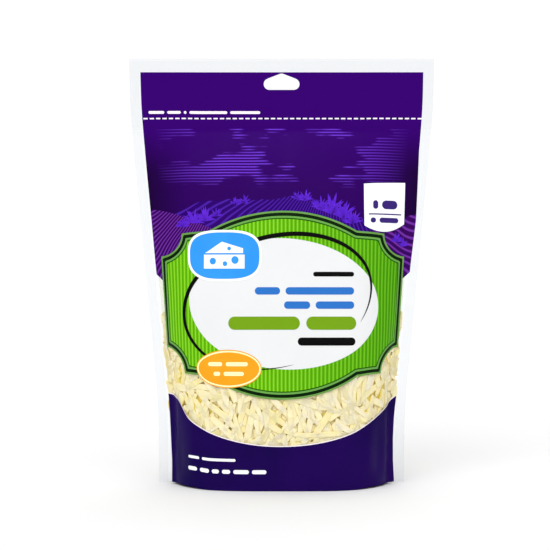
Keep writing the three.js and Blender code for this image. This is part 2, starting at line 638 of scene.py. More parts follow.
def write_mesh(name: str, points: Array, faces: list[Array], finishes: list[Material],
               zones: list[Array] | None = None, flat: Array | None = None, smooth: bool = True
               ) -> Object:
    """Writes a mesh from whole arrays and links its object at the origin.

    Args:
        name: the piece's name.
        points: places in millimetres.
        faces: arrays of point numbers, each of faces with the same number of corners.
        finishes: the materials, in the order of the finish numbers.
        zones: the finish number of each face, as arrays that match faces.
        flat: the flat place of each point, kept as a UV map in metres.
        smooth: whether the shading runs on across the faces' edges.

    Returns:
        The new object.
    """
    mesh = bpy.data.meshes.new(name)
    corners = np.concatenate([f.ravel() for f in faces]).astype(np.int32)
    totals = np.concatenate([np.full(len(f), f.shape[1]) for f in faces]).astype(np.int32)
    starts = np.concatenate([[0], np.cumsum(totals)[:-1]]).astype(np.int32)
    mesh.vertices.add(len(points))
    mesh.vertices.foreach_set("co", (points * MM).astype(np.float32).ravel())
    mesh.loops.add(len(corners))
    mesh.loops.foreach_set("vertex_index", corners)
    mesh.polygons.add(len(totals))
    mesh.polygons.foreach_set("loop_start", starts)
    mesh.polygons.foreach_set("loop_total", totals)
    mesh.polygons.foreach_set("use_smooth", np.full(len(totals), smooth))
    for finish in finishes:
        mesh.materials.append(finish)
    if zones is not None:
        mesh.polygons.foreach_set("material_index", np.concatenate(zones).astype(np.int32))
    if flat is not None:
        layer = mesh.uv_layers.new(name="flat")
        layer.data.foreach_set("uv", (flat[corners] * MM).astype(np.float32).ravel())
    mesh.update(calc_edges=True)
    mesh.validate()
    piece = bpy.data.objects.new(name, mesh)
    bpy.context.scene.collection.objects.link(piece)
    return piece


def settle(piece: Object) -> None:
    """Rides a piece on the pouch's body, and logs it.

    Args:
        piece: the piece's object.
    """
    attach(piece, BODY)
    LOG.info("%s: %d faces", piece.name, len(piece.data.polygons))


def add_tone(piece: Object, tone: Array) -> None:
    """Gives each point of a piece of cheese a tone: 0 where it is palest and 1 where it is warmest; the tone
    holds both the cheese's own uneven colour and painted shade.
    """
    attribute = piece.data.attributes.new("tone", "FLOAT", "POINT")
    attribute.data.foreach_set("value", tone.astype(np.float32))


# ---- finishes


def add_node(tree: NodeTree, kind: str, settings: dict | None = None) -> Node:
    """Adds one node, sets its properties and sockets, and links what feeds it.

    Args:
        tree: the node tree.
        kind: the node's type name, without the ShaderNode that it starts with.
        settings: values by property name, or values, outputs and nodes, which stand for their first
            output, by the name or number of the socket they feed.

    Returns:
        The new node.
    """
    node = tree.nodes.new("ShaderNode" + kind)
    for key, value in (settings or {}).items():
        feed = value.outputs[0] if isinstance(value, Node) else value
        if isinstance(key, str) and key not in node.inputs:
            setattr(node, key, value)
        elif isinstance(feed, NodeSocket):
            tree.links.new(feed, node.inputs[key])
        else:
            node.inputs[key].default_value = value
    return node


def new_material(name: str) -> tuple[Material, NodeTree]:
    """Makes an empty node material.

    Args:
        name: what the finish is and how it was made.

    Returns:
        The material and its node tree.
    """
    material = bpy.data.materials.new(name)
    material.use_nodes = True
    material.node_tree.nodes.clear()
    return material, material.node_tree


@dataclass(frozen=True)
class GravureInk:
    """Gravure ink laminated under polyester film: a flat, dense colour, softly glossed over fine relief."""

    name: str
    colour: str
    shade: str | None = None
    roughness: float = 0.35
    gloss: float = 0.06
    mottle_mm: float = 9.0
    relief_mm: float = 1.6
    relief_strength: float = 0.12
    relief_depth_mm: float = 0.03

    def material(self) -> Material:
        """Builds the ink: its colour, then the film's gloss and relief over it.

        Returns:
            The material.
        """
        material, tree = new_material(self.name)
        colour = self.colour_output(tree)
        place = add_node(tree, "TexCoord").outputs["Object"]
        relief = add_node(tree, "TexNoise", {
            "Scale": 1.0 / (self.relief_mm * MM), "Detail": 2.0, "Vector": place
        })
        bump = add_node(tree, "Bump", {
            "Strength": self.relief_strength, "Distance": self.relief_depth_mm * MM, "Height": relief
        })
        shader = add_node(tree, "BsdfPrincipled", {
            "Roughness": self.roughness, "Specular IOR Level": self.gloss, "IOR": 1.5, "Base Color": colour,
            "Normal": bump
        })
        add_node(tree, "OutputMaterial", {"Surface": shader})
        return material

    def flat_place(self, tree: NodeTree) -> tuple[NodeSocket, NodeSocket]:
        """The flat place in millimetres, from the piece's own UV map.

        Args:
            tree: the node tree.

        Returns:
            The outputs for u and v.
        """
        uv = add_node(tree, "UVMap", {"uv_map": "flat"})
        scaled = add_node(tree, "VectorMath", {"operation": "SCALE", "Scale": 1.0 / MM, 0: uv})
        parts = add_node(tree, "SeparateXYZ", {0: scaled})
        return parts.outputs["X"], parts.outputs["Y"]

    def blend(self, tree: NodeTree, share: Feed, first: str | Feed, second: str | Feed) -> Feed:
        """Mixes two colours, each a hex colour or what gives one, by the share that is the second."""
        first, second = (linear(colour) if isinstance(colour, str) else colour for colour in (first, second))
        return add_node(tree, "Mix", {"data_type": "RGBA", 0: share, 6: first, 7: second}).outputs[2]

    def colour_output(self, tree: NodeTree) -> Feed:
        """The ink's colour with faint clouds of its second shade, as uneven as a press lays it.

        Args:
            tree: the node tree.

        Returns:
            The colour's output.
        """
        place = add_node(tree, "TexCoord").outputs["Object"]
        noise = add_node(tree, "TexNoise", {
            "Scale": 1.0 / (self.mottle_mm * MM), "Detail": 3.0, "Vector": place
        })
        share = add_node(tree, "MapRange", {
            "From Min": 0.35, "From Max": 0.65, "To Max": 1.0, "Value": noise
        })
        return self.blend(tree, share, self.colour, self.shade or self.colour)


@dataclass(frozen=True)
class StripedInk(GravureInk):
    """Two greens in fine upright stripes, both darkened towards the right by painted shade."""

    stripe: str = "#82cc22"
    # painted shade: the darker greens that both stripes turn to towards the right
    deep: str = "#3c8a00"
    shaded_stripe: str = "#62b018"
    period_mm: float = 2.616
    stripe_share: float = 0.42
    softness: float = 0.5
    shade_from: float = -10.0
    shade_to: float = 78.0

    def colour_output(self, tree: NodeTree) -> Feed:
        """The stripe's share is a cosine of u over the period, sharpened to soft-edged bars, and painted shade
        darkens both greens towards the right.

        Args:
            tree: the node tree.

        Returns:
            The colour's output.
        """
        across, _ = self.flat_place(tree)
        turn = add_node(tree, "Math", {"operation": "MULTIPLY", 1: 2.0 * math.pi / self.period_mm, 0: across})
        wave = add_node(tree, "Math", {"operation": "COSINE", 0: turn})
        edge = math.cos(math.pi * self.stripe_share)
        share = add_node(tree, "MapRange", {
            "From Min": edge - self.softness, "From Max": edge + self.softness, "Value": wave
        })
        # painted shade: the share of the darker greens, rising from the middle to the right edge
        right = add_node(tree, "MapRange", {
            "From Min": self.shade_from, "From Max": self.shade_to, "Value": across
        })
        base = self.blend(tree, right, self.colour, self.deep)
        stripe = self.blend(tree, right, self.stripe, self.shaded_stripe)
        return self.blend(tree, share, base, stripe)


@dataclass(frozen=True)
class EngravedSkyInk(GravureInk):
    """Violet sky drawn as an engraver does, in level lines that break off at the edges of dark clouds, with
    painted shade at its sides.
    """

    line: str = "#6a35cc"
    dusk: str = "#2b0058"
    # painted shade: the darkest violet, at the sky's sides
    sky_side_shade: str = "#150028"
    spacing_mm: float = 1.78
    line_share: float = 0.34
    softness: Pair = (0.08, -0.04)
    cloud_mm: float = 46.0
    cloud_lines: float = 9.0
    cloud_seed: float = 4.7
    cloud_edge: Pair = (0.46, 0.50)
    sides: Pair = (82.0, 40.0)
    foot: Pair = (188.0, 197.0)
    head: Pair = (226.0, 225.8)
    dusk_levels: Pair = (186.0, 230.0)
    sky_shade_across: Pair = (62.0, 94.0)
    sky_shade_upwards: Pair = (224.0, 200.0)

    def colour_output(self, tree: NodeTree) -> Feed:
        """A line shows where v, cut into its spacing, is near the line's middle and the cloud mask is open.

        The mask is a noise read at the line's own height, so that a line ends square, and it fades out towards
        the sides, the ridge and the header. Towards both sides, below the header, painted shade darkens the
        sky.

        Args:
            tree: the node tree.

        Returns:
            The colour's output.
        """
        across, up = self.flat_place(tree)
        row = add_node(tree, "Math", {"operation": "DIVIDE", 1: self.spacing_mm, 0: up})
        number = add_node(tree, "Math", {"operation": "FLOOR", 0: row})
        part = add_node(tree, "Math", {"operation": "FRACT", 0: row})
        centred = add_node(tree, "Math", {"operation": "SUBTRACT", 1: 0.5, 0: part})
        away = add_node(tree, "Math", {"operation": "ABSOLUTE", 0: centred})
        half = self.line_share / 2.0
        outer, inner = (half + soft for soft in self.softness)
        line = add_node(tree, "MapRange", {"From Min": outer, "From Max": inner, "Value": away})
        place = add_node(tree, "CombineXYZ", {"Z": self.cloud_seed, "X": across, "Y": number})
        sizes = (1.0 / self.cloud_mm, 1.0 / self.cloud_lines, 1.0)
        cloud_size = add_node(tree, "VectorMath", {"operation": "MULTIPLY", 1: sizes, 0: place})
        noise = add_node(tree, "TexNoise", {
            "Scale": 1.0, "Detail": 2.5, "Roughness": 0.55, "Vector": cloud_size
        })
        far = add_node(tree, "Math", {"operation": "ABSOLUTE", 0: across})
        share = line
        for feed, span in ((noise, self.cloud_edge), (far, self.sides), (up, self.foot), (up, self.head)):
            fade = add_node(tree, "MapRange", {"From Min": span[0], "From Max": span[1], "Value": feed})
            share = add_node(tree, "Math", {"operation": "MULTIPLY", 0: share, 1: fade})
        ground, aside, under = (
            add_node(tree, "MapRange", {"From Min": span[0], "From Max": span[1], "Value": feed})
            for feed, span in ((up, self.dusk_levels), (far, self.sky_shade_across), (up, self.sky_shade_upwards))
        )
        sky = self.blend(tree, ground, self.dusk, self.colour)
        # painted shade: darkens the sky towards both sides below the header, where the film turns away from the
        # light
        corner = add_node(tree, "Math", {"operation": "MULTIPLY", 0: aside, 1: under})
        sky = self.blend(tree, corner, sky, self.sky_side_shade)
        return self.blend(tree, share, sky, self.line)


@dataclass(frozen=True)
class FurrowInk(GravureInk):
    """A ploughed field drawn in fine furrows that fan out from a far point and waver a little."""

    line: str = "#7a3fd8"
    far_u: float = 0.0
    far_v: float = 230.0
    spacing_mm: float = 2.6
    spacing_at_mm: float = 50.0
    line_share: float = 0.34
    softness: float = 0.25
    waver: float = 0.10
    waver_mm: float = 30.0

    def colour_output(self, tree: NodeTree) -> Feed:
        """Lines run where the bearing from the far point, bent by a slow noise, is near a multiple of a step.

        The step is the spacing over the distance at which it is measured.

        Args:
            tree: the node tree.

        Returns:
            The colour's output.
        """
        across, up = self.flat_place(tree)
        place = add_node(tree, "TexCoord").outputs["Object"]
        noise = add_node(tree, "TexNoise", {
            "Scale": 1.0 / (self.waver_mm * MM), "Detail": 1.0, "Vector": place
        })
        east = add_node(tree, "Math", {"operation": "SUBTRACT", 1: self.far_u, 0: across})
        south = add_node(tree, "Math", {"operation": "SUBTRACT", 0: self.far_v, 1: up})
        bearing = add_node(tree, "Math", {"operation": "ARCTAN2", 0: east, 1: south})
        bent = add_node(tree, "Math", {"operation": "MULTIPLY_ADD", 1: self.waver, 0: noise, 2: bearing})
        turns = 2.0 * math.pi * self.spacing_at_mm / self.spacing_mm
        turn = add_node(tree, "Math", {"operation": "MULTIPLY", 1: turns, 0: bent})
        wave = add_node(tree, "Math", {"operation": "COSINE", 0: turn})
        edge = math.cos(math.pi * self.line_share)
        share = add_node(tree, "MapRange", {
            "From Min": edge - self.softness, "From Max": edge + self.softness, "Value": wave
        })
        return self.blend(tree, share, self.colour, self.line)


@dataclass(frozen=True)
class ClearFilm:
    """Blown polyethylene film: nearly clear, with sharp reflections and a trace of milkiness."""

    name: str
    haze: float = 0.006
    roughness: float = 0.09
    haze_colour: str = "#eef1f6"
    tint: str = "#fbfcfd"
    mirror: float = 0.03
    mirror_power: float = 5.0
    relief_mm: float = 5.0
    relief_strength: float = 0.25
    relief_depth_mm: float = 0.12

    def material(self) -> Material:
        """Lets light through but for a little scattered white and the gloss.

        The gloss rises from its head-on share by the fifth power of how edge-on the film is seen, which
        holds from outside and from inside alike.

        Returns:
            The material.
        """
        material, tree = new_material(self.name)
        place = add_node(tree, "TexCoord").outputs["Object"]
        noise = add_node(tree, "TexNoise", {
            "Scale": 1.0 / (self.relief_mm * MM), "Detail": 3.0, "Vector": place
        })
        normal = add_node(tree, "Bump", {
            "Strength": self.relief_strength, "Distance": self.relief_depth_mm * MM, "Height": noise
        })
        clear = add_node(tree, "BsdfTransparent", {"Color": linear(self.tint)})
        gloss = add_node(tree, "BsdfGlossy", {
            "Roughness": self.roughness, "Color": (1.0, 1.0, 1.0, 1.0), "Normal": normal
        })
        milk = add_node(tree, "BsdfDiffuse", {"Color": linear(self.haze_colour), "Normal": normal})
        facing = add_node(tree, "LayerWeight", {"Blend": 0.5, "Normal": normal})
        turned = add_node(tree, "Math", {
            "operation": "POWER", 1: self.mirror_power, 0: facing.outputs["Facing"]
        })
        edge = add_node(tree, "Math", {
            "operation": "MULTIPLY_ADD", 1: 1.0 - self.mirror, 2: self.mirror, 0: turned
        })
        hazy = add_node(tree, "MixShader", {0: self.haze, 1: clear, 2: milk})
        film = add_node(tree, "MixShader", {0: edge, 1: hazy, 2: gloss})
        add_node(tree, "OutputMaterial", {"Surface": film})
        return material


@dataclass(frozen=True)
class FreshCheese:
    """Low-moisture mozzarella cut by a shredder: moist, pale cream, light going a few millimetres in."""

    name: str
    pale: str = "#fceecb"
    # the warmer cream, which is also the colour of painted shade
    warm: str = "#edd83a"
    grain_mm: float = 0.8
    grain_strength: float = 0.35
    grain_depth_mm: float = 0.15
    patch_mm: float = 7.0
    patchiness: float = 0.5
    roughness: float = 0.48
    gloss: float = 0.35
    scatter: float = 0.3
    scatter_mm: float = 1.5
    scatter_colour: Triple = (1.0, 0.9, 0.65)

    def material(self) -> Material:
        """Mixes two creams by the tone attribute, which holds the strip's own tone and painted shade, and by
        soft patches, and scatters light below the surface.

        Returns:
            The material.
        """
        material, tree = new_material(self.name)
        place = add_node(tree, "TexCoord").outputs["Object"]
        tone = add_node(tree, "Attribute", {"attribute_name": "tone"})
        grain = add_node(tree, "TexNoise", {
            "Scale": 1.0 / (self.grain_mm * MM), "Detail": 4.0, "Vector": place
        })
        patchy = add_node(tree, "TexNoise", {
            "Scale": 1.0 / (self.patch_mm * MM), "Detail": 2.0, "Vector": place
        })
        spread = add_node(tree, "Math", {
            "operation": "MULTIPLY_ADD", 1: self.patchiness, 2: -self.patchiness / 2.0, 0: patchy
        })
        share = add_node(tree, "Math", {
            "operation": "ADD", "use_clamp": True, 0: tone.outputs["Fac"], 1: spread
        })
        mix = add_node(tree, "Mix", {
            "data_type": "RGBA", 0: share, 6: linear(self.pale), 7: linear(self.warm)
        })
        bump = add_node(tree, "Bump", {
            "Strength": self.grain_strength, "Distance": self.grain_depth_mm * MM, "Height": grain
        })
        shader = add_node(tree, "BsdfPrincipled", {
            "Roughness": self.roughness, "Specular IOR Level": self.gloss, "IOR": 1.45,
            "Subsurface Weight": self.scatter, "Subsurface Radius": self.scatter_colour,
            "Subsurface Scale": self.scatter_mm * MM, "Base Color": mix.outputs[2], "Normal": bump
        })
        add_node(tree, "OutputMaterial", {"Surface": shader})
        return material


@dataclass(frozen=True)
class StudioPaper:
    """Matt white background paper: pale and even, with no shine of its own."""

    name: str = "white_background_paper"
    colour: str = "#e4e4e4"
    roughness: float = 0.9
    gloss: float = 0.1

    def material(self) -> Material:
        """A matt white.

        Returns:
            The material.
        """
        material, tree = new_material(self.name)
        shader = add_node(tree, "BsdfPrincipled", {
            "Base Color": linear(self.colour), "Roughness": self.roughness, "Specular IOR Level": self.gloss
        })
        add_node(tree, "OutputMaterial", {"Surface": shader})
        return material


# ---- film


@dataclass(frozen=True)
class HangHole:
    """The hang hole in the header: a rounded triangle, as the hull of one circle above two."""

    half_width: float = 11.3
    top: float = 260.3
    bottom: float = 250.0
    top_radius: float = 1.7
    side_radius: float = 3.6
    clear: float = 2.5
    step: float = 0.3
    directions: int = 145

    def outline(self) -> Array:
        """The hull's outline: in each direction, the furthest any of its circles reaches, walked evenly.

        Returns:
            Points (u, v), counter-clockwise.
        """
        turn = np.linspace(-math.pi / 2.0, 1.5 * math.pi, self.directions)
        towards = np.stack([np.cos(turn), np.sin(turn)], axis=1)
        lobe = self.half_width - self.side_radius
        centres = np.array([[0.0, self.top - self.top_radius], [lobe, self.bottom + self.side_radius],
                            [-lobe, self.bottom + self.side_radius]])
        radii = np.array([self.top_radius, self.side_radius, self.side_radius])
        reach = centres @ towards.T + radii[:, None]
        nearest = np.argmax(reach, axis=0)
        corners = centres[nearest] + towards * radii[nearest][:, None]
        corners[-1] = corners[0]
        walked = np.concatenate([[0.0], np.cumsum(np.linalg.norm(np.diff(corners, axis=0), axis=1))])
        places = between(0.0, walked[-1], self.step)[:-1]
        return np.stack([np.interp(places, walked, corners[:, k]) for k in range(2)], axis=1)


@dataclass
class FilmPouch:
    """The sealed film: front, back and foot gusset as one closed skin, welded flat along both sides."""

    form: PouchForm
    hole: HangHole = HangHole()
    print_top: float = 261.0
    wide_step: float = 1.9
    fine_step: float = 0.7
    row_step: float = 1.7
    gusset_rise: float = 2.6
    gusset_power: float = 1.5
    gusset_fade: Pair = (48.0, 84.0)
    gusset_rows: int = 14
    clear: ClearFilm = ClearFilm("clear_polyethylene_blown")
    weld: ClearFilm = ClearFilm("clear_polyethylene_heat_sealed", haze=0.045, roughness=0.16, tint="#f9fafb")

    def gusset(self, share: Array, front: Array, back: Array, u: Array) -> Array:
        """The foot: straight across from front to back edge, its middle fold raised by the filling's give.

        Args:
            share: 0 at the front edge and 1 at the back edge, one for each row.
            front: places of the front foot edge.
            back: places of the back foot edge, in the same order.
            u: flat places across, which let the rise die away towards the welds.

        Returns:
            Rows of places.
        """
        across = share[:, None, None]
        rise = self.gusset_rise * (1.0 - np.abs(2.0 * share - 1.0) ** self.gusset_power)[:, None]
        rise = rise * (1.0 - smoothstep(np.abs(u), *self.gusset_fade))
        places = front * (1.0 - across) + back * across
        places[..., 2] += rise
        return places

    def skin(self) -> tuple[Array, list[Array], list[Array], Array]:
        """Joins the two sheets at the sides, the top, the hang hole and the foot into one closed skin.

        Returns:
            Places, face arrays, finish numbers (0 clear panel, 1 weld) and flat places.
        """
        edge = self.form.top_half_width
        u = self.form.across(-edge, edge, self.wide_step, self.fine_step)
        v = between(0.0, self.form.height, self.row_step)
        sheet = Patch.grid(u[None, :], v[:, None]).pierced(self.hole.outline(), self.hole.clear)
        count, wide = len(sheet.flat), len(u)
        flat = np.concatenate([sheet.flat, sheet.flat])
        front, back = (self.form.surface(*sheet.flat.T, side) for side in Side)
        places = np.concatenate([front, back])
        faces = [*sheet.faces, *[f + count for f in sheet.faces]]
        rows = np.arange(1, len(v) - 1)
        left, right = rows * wide, rows * wide + wide - 1
        faces.append(np.stack([right, left + count, left + wide + count, right + wide], axis=1))
        faces.append(np.stack([right + count, left, left + wide, right + wide + count], axis=1))
        top = (len(v) - 1) * wide + np.arange(wide)
        behind = top[::-1] + count
        faces.append(np.stack([top[:-1], top[1:], behind[1:], behind[:-1]], axis=1))
        loop = sheet.faces[1].reshape(len(COLLAR_SHARES), -1, 4)[-1, :, 3]
        facing = np.linalg.norm(sheet.flat[loop][:, None] * [-1.0, 1.0] - sheet.flat[loop][None], axis=2)
        across = loop[np.argmin(facing, axis=1)] + count
        faces.append(np.stack([loop, np.roll(loop, -1), np.roll(across, -1), across], axis=1))
        foot = np.arange(wide)
        share = np.linspace(0.0, 1.0, self.gusset_rows + 1)
        inner = self.gusset(share[1:-1], front[:wide], back[:wide][::-1], u)
        start = 2 * count
        numbers = np.stack([foot, *[start + k * wide + foot for k in range(len(inner))], foot[::-1] + count])
        low, high = numbers[:-1], numbers[1:]
        faces.append(np.stack([low[:, 1:], low[:, :-1], high[:, :-1], high[:, 1:]], axis=-1).reshape(-1, 4))
        faces.append(np.array([[*numbers[:, -1], wide + count, 2 * wide - 1]]))
        faces.append(np.array([[*numbers[::-1, 0], wide, 2 * wide - 1 + count]]))
        places = np.concatenate([places, inner.reshape(-1, 3)])
        foot_flat = np.broadcast_to(sheet.flat[:wide], (len(inner), wide, 2)).reshape(-1, 2)
        flat = np.concatenate([flat, foot_flat])
        zones = [self._zone(flat, f) for f in faces]
        return places, faces, zones, flat

    def _zone(self, flat: Array, faces: Array) -> Array:
        """Finish 1 where a face lies on a side weld or above the print, and 0 elsewhere."""
        u, v = flat[faces].mean(axis=1).T
        return ((np.abs(u) > self.form.weld_start) | (v > self.print_top)).astype(int)

    def build(self) -> None:
        """Makes the skin, which stands for the solid pouch."""
        finishes = [self.clear.material(), self.weld.material()]
        places, faces, zones, flat = self.skin()
        skin = write_mesh("film_skin", places, faces, finishes, zones, flat)
        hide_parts(NODE)
        settle(skin)


# ---- print


@dataclass(frozen=True)
class Inks:
    """Every ink of the print, as gravure inks under gloss film."""

    header: GravureInk = GravureInk("gravure_ink_violet", "#330069", "#300066", gloss=0.03)
    sky: EngravedSkyInk = EngravedSkyInk("gravure_ink_engraved_sky", "#330069", "#300066", gloss=0.03)
    band: GravureInk = GravureInk("gravure_ink_indigo", "#150445", "#1f0450", gloss=0.03, mottle_mm=45.0)
    far_hill: FurrowInk = FurrowInk("gravure_ink_far_hill", "#2a0066", line="#441c98", gloss=0.03,
                                    far_u=32.0, far_v=213.0, spacing_mm=1.8, spacing_at_mm=42.0)
    near_hill: FurrowInk = FurrowInk("gravure_ink_near_hill", "#340358", line="#6a2c98", gloss=0.03,
                                     far_u=-30.0, far_v=208.0, spacing_mm=1.9, spacing_at_mm=60.0)
    grass: GravureInk = GravureInk("gravure_ink_bright_violet", "#5c24cc", "#521cbe", mottle_mm=3.0)
    keyline: GravureInk = GravureInk("gravure_ink_keyline", "#fbeff6")
    white: GravureInk = GravureInk("gravure_ink_opaque_white", "#f6f7f9", "#f3f4f7", mottle_mm=18.0)
    oval_white: GravureInk = GravureInk("gravure_ink_soft_white", "#e0e1e2", "#dddedf", mottle_mm=30.0)
    sage: GravureInk = GravureInk("gravure_ink_sage", "#6a9a4c", "#5f9040", mottle_mm=12.0)
    pine: GravureInk = GravureInk("gravure_ink_pine", "#001a00", "#041f02")
    moss: GravureInk = GravureInk("gravure_ink_moss", "#659e49")
    fern: GravureInk = GravureInk("gravure_ink_fern", "#1d5400")
    stripes: StripedInk = StripedInk("gravure_ink_green_stripes", "#52a000")
    black: GravureInk = GravureInk("gravure_ink_black", "#050505")
    blue: GravureInk = GravureInk("gravure_ink_sky_blue", "#3394f2", "#2f8ff0", mottle_mm=14.0)
    deep_blue: GravureInk = GravureInk("gravure_ink_deep_blue", "#2d6ebe")
    leaf: GravureInk = GravureInk("gravure_ink_leaf_green", "#6f9a16")
    orange: GravureInk = GravureInk("gravure_ink_orange", "#f89f22", "#f79a1c", mottle_mm=12.0)
    cream: GravureInk = GravureInk("gravure_ink_cream", "#fff7b9")
    ink_text: GravureInk = GravureInk("gravure_ink_dark_violet", "#37236e")


@dataclass
class PrintLayers:
    """Lays flat fields of ink on the film, one over another, each a little further out."""

    form: PouchForm
    side: Side
    prefix: str
    layer_step: float = 0.065

    def lay(self, name: str, patch: Patch, layer: int, *inks: GravureInk) -> None:
        """Puts a field of ink on the film.

        Args:
            name: what the field is.
            patch: the field.
            layer: how many layers out it lies.
            inks: the finishes, in the order of the patch's finish numbers.
        """
        places = self.form.surface(*patch.flat.T, self.side, self.layer_step * layer)
        finishes = [bpy.data.materials.get(ink.name) or ink.material() for ink in inks]
        piece = write_mesh(f"{self.prefix}_{name}", places, patch.faces, finishes, patch.zones, patch.flat)
        settle(piece)


@dataclass
class Ground:
    """What both broad sides share: the violet upper field, the indigo band over the foot, and its keyline."""

    form: PouchForm
    left: float = -88.5
    right: float = 90.0
    top: float = 261.0
    skirt: float = 120.0
    skirt_drop: float = 16.0
    band_middle: float = 28.3
    band_rise: float = 28.4
    band_power: float = 2.08
    kink_place: float = -75.5
    kink_rise: float = 6.9
    kink_outer: float = 9.4
    kink_inner: float = 4.7
    keyline: float = 0.6
    keyline_drop: float = 0.2
    foot_gap: float = 0.15
    span: float = 89.0
    row_step: float = 1.4
    inset: float = 0.6
    edge_heights: Floats = (0.0, 14.0, 28.0, 42.0, 56.0, 143.0, 170.0, 200.0, 213.0, 261.0)
    left_edge: Floats = (-86.9, -86.8, -87.4, -87.8, -88.0, -88.6, -88.5, -88.6, -88.6, -88.9)
    right_edge: Floats = (89.1, 88.2, 88.0, 88.4, 89.1, 90.7, 91.4, 89.9, 89.2, 89.2)

    def from_behind(self) -> "Ground":
        """The same fields for the other side, narrower, so that they don't show past this side's edges.

        Returns:
            The other side's fields.
        """
        left_edge = tuple(self.inset - edge for edge in self.right_edge)
        right_edge = tuple(-edge - self.inset for edge in self.left_edge)
        return replace(self, left=self.inset - self.right, right=-self.left - self.inset,
                       left_edge=left_edge, right_edge=right_edge)

    def places(self) -> Array:
        """Places across the print."""
        return self.form.across(self.left, self.right)

    def trimmed(self, patch: Patch) -> Patch:
        """Moves what lies near the print's side edges to where they wander, as the film was slit and welded.

        Args:
            patch: the field.

        Returns:
            The field with its edges moved.
        """
        u, v = patch.flat.T
        start = self.form.turn_start
        left = np.interp(v, self.edge_heights, self.left_edge) - self.left
        right = np.interp(v, self.edge_heights, self.right_edge) - self.right
        left = left * smoothstep(-u, start, -self.left)
        right = right * smoothstep(u, start, self.right)
        return Patch(np.stack([u + left + right, v], axis=1), patch.faces, patch.zones)

    def upper_edge(self, u: Array) -> Array:
        """The upper field's lower edge: level behind the plaque, swept up at the sides by the sixth power."""
        return self.skirt + self.skirt_drop * np.abs(u / self.span) ** 6

    def band_edge(self, u: Array) -> Array:
        """The band's upper edge: a bowl, a little over the square of u, with a pucker near its left end.

        Args:
            u: flat places across.

        Returns:
            The edge's height at each place.
        """
        reach = np.where(u < self.kink_place, self.kink_outer, self.kink_inner)
        pucker = self.kink_rise * np.exp(-0.5 * ((u - self.kink_place) / reach) ** 2)
        return self.band_middle + self.band_rise * np.abs(u / self.span) ** self.band_power + pucker

    def upper(self, hole: HangHole) -> Patch:
        """The upper field with the hang hole cut out.

        Args:
            hole: the hang hole.

        Returns:
            The patch.
        """
        u = self.places()
        share = between(0.0, self.top - self.skirt, self.row_step)[:, None] / (self.top - self.skirt)
        low = self.upper_edge(u)
        whole = Patch.grid(u[None, :], low + (self.top - low) * share)
        return self.trimmed(whole.pierced(hole.outline(), hole.clear))

    def lower(self) -> Patch:
        """The band from the foot to its bowl-shaped edge."""
        u = self.places()
        return self.trimmed(Patch.strip(u, np.full_like(u, self.foot_gap), self.band_edge(u)))

    def line(self) -> Patch:
        """The pale line along the band's edge.

        Returns:
            The patch.
        """
        u = self.places()
        edge = self.band_edge(u)
        return self.trimmed(Patch.strip(u, edge - self.keyline_drop, edge + self.keyline - self.keyline_drop))


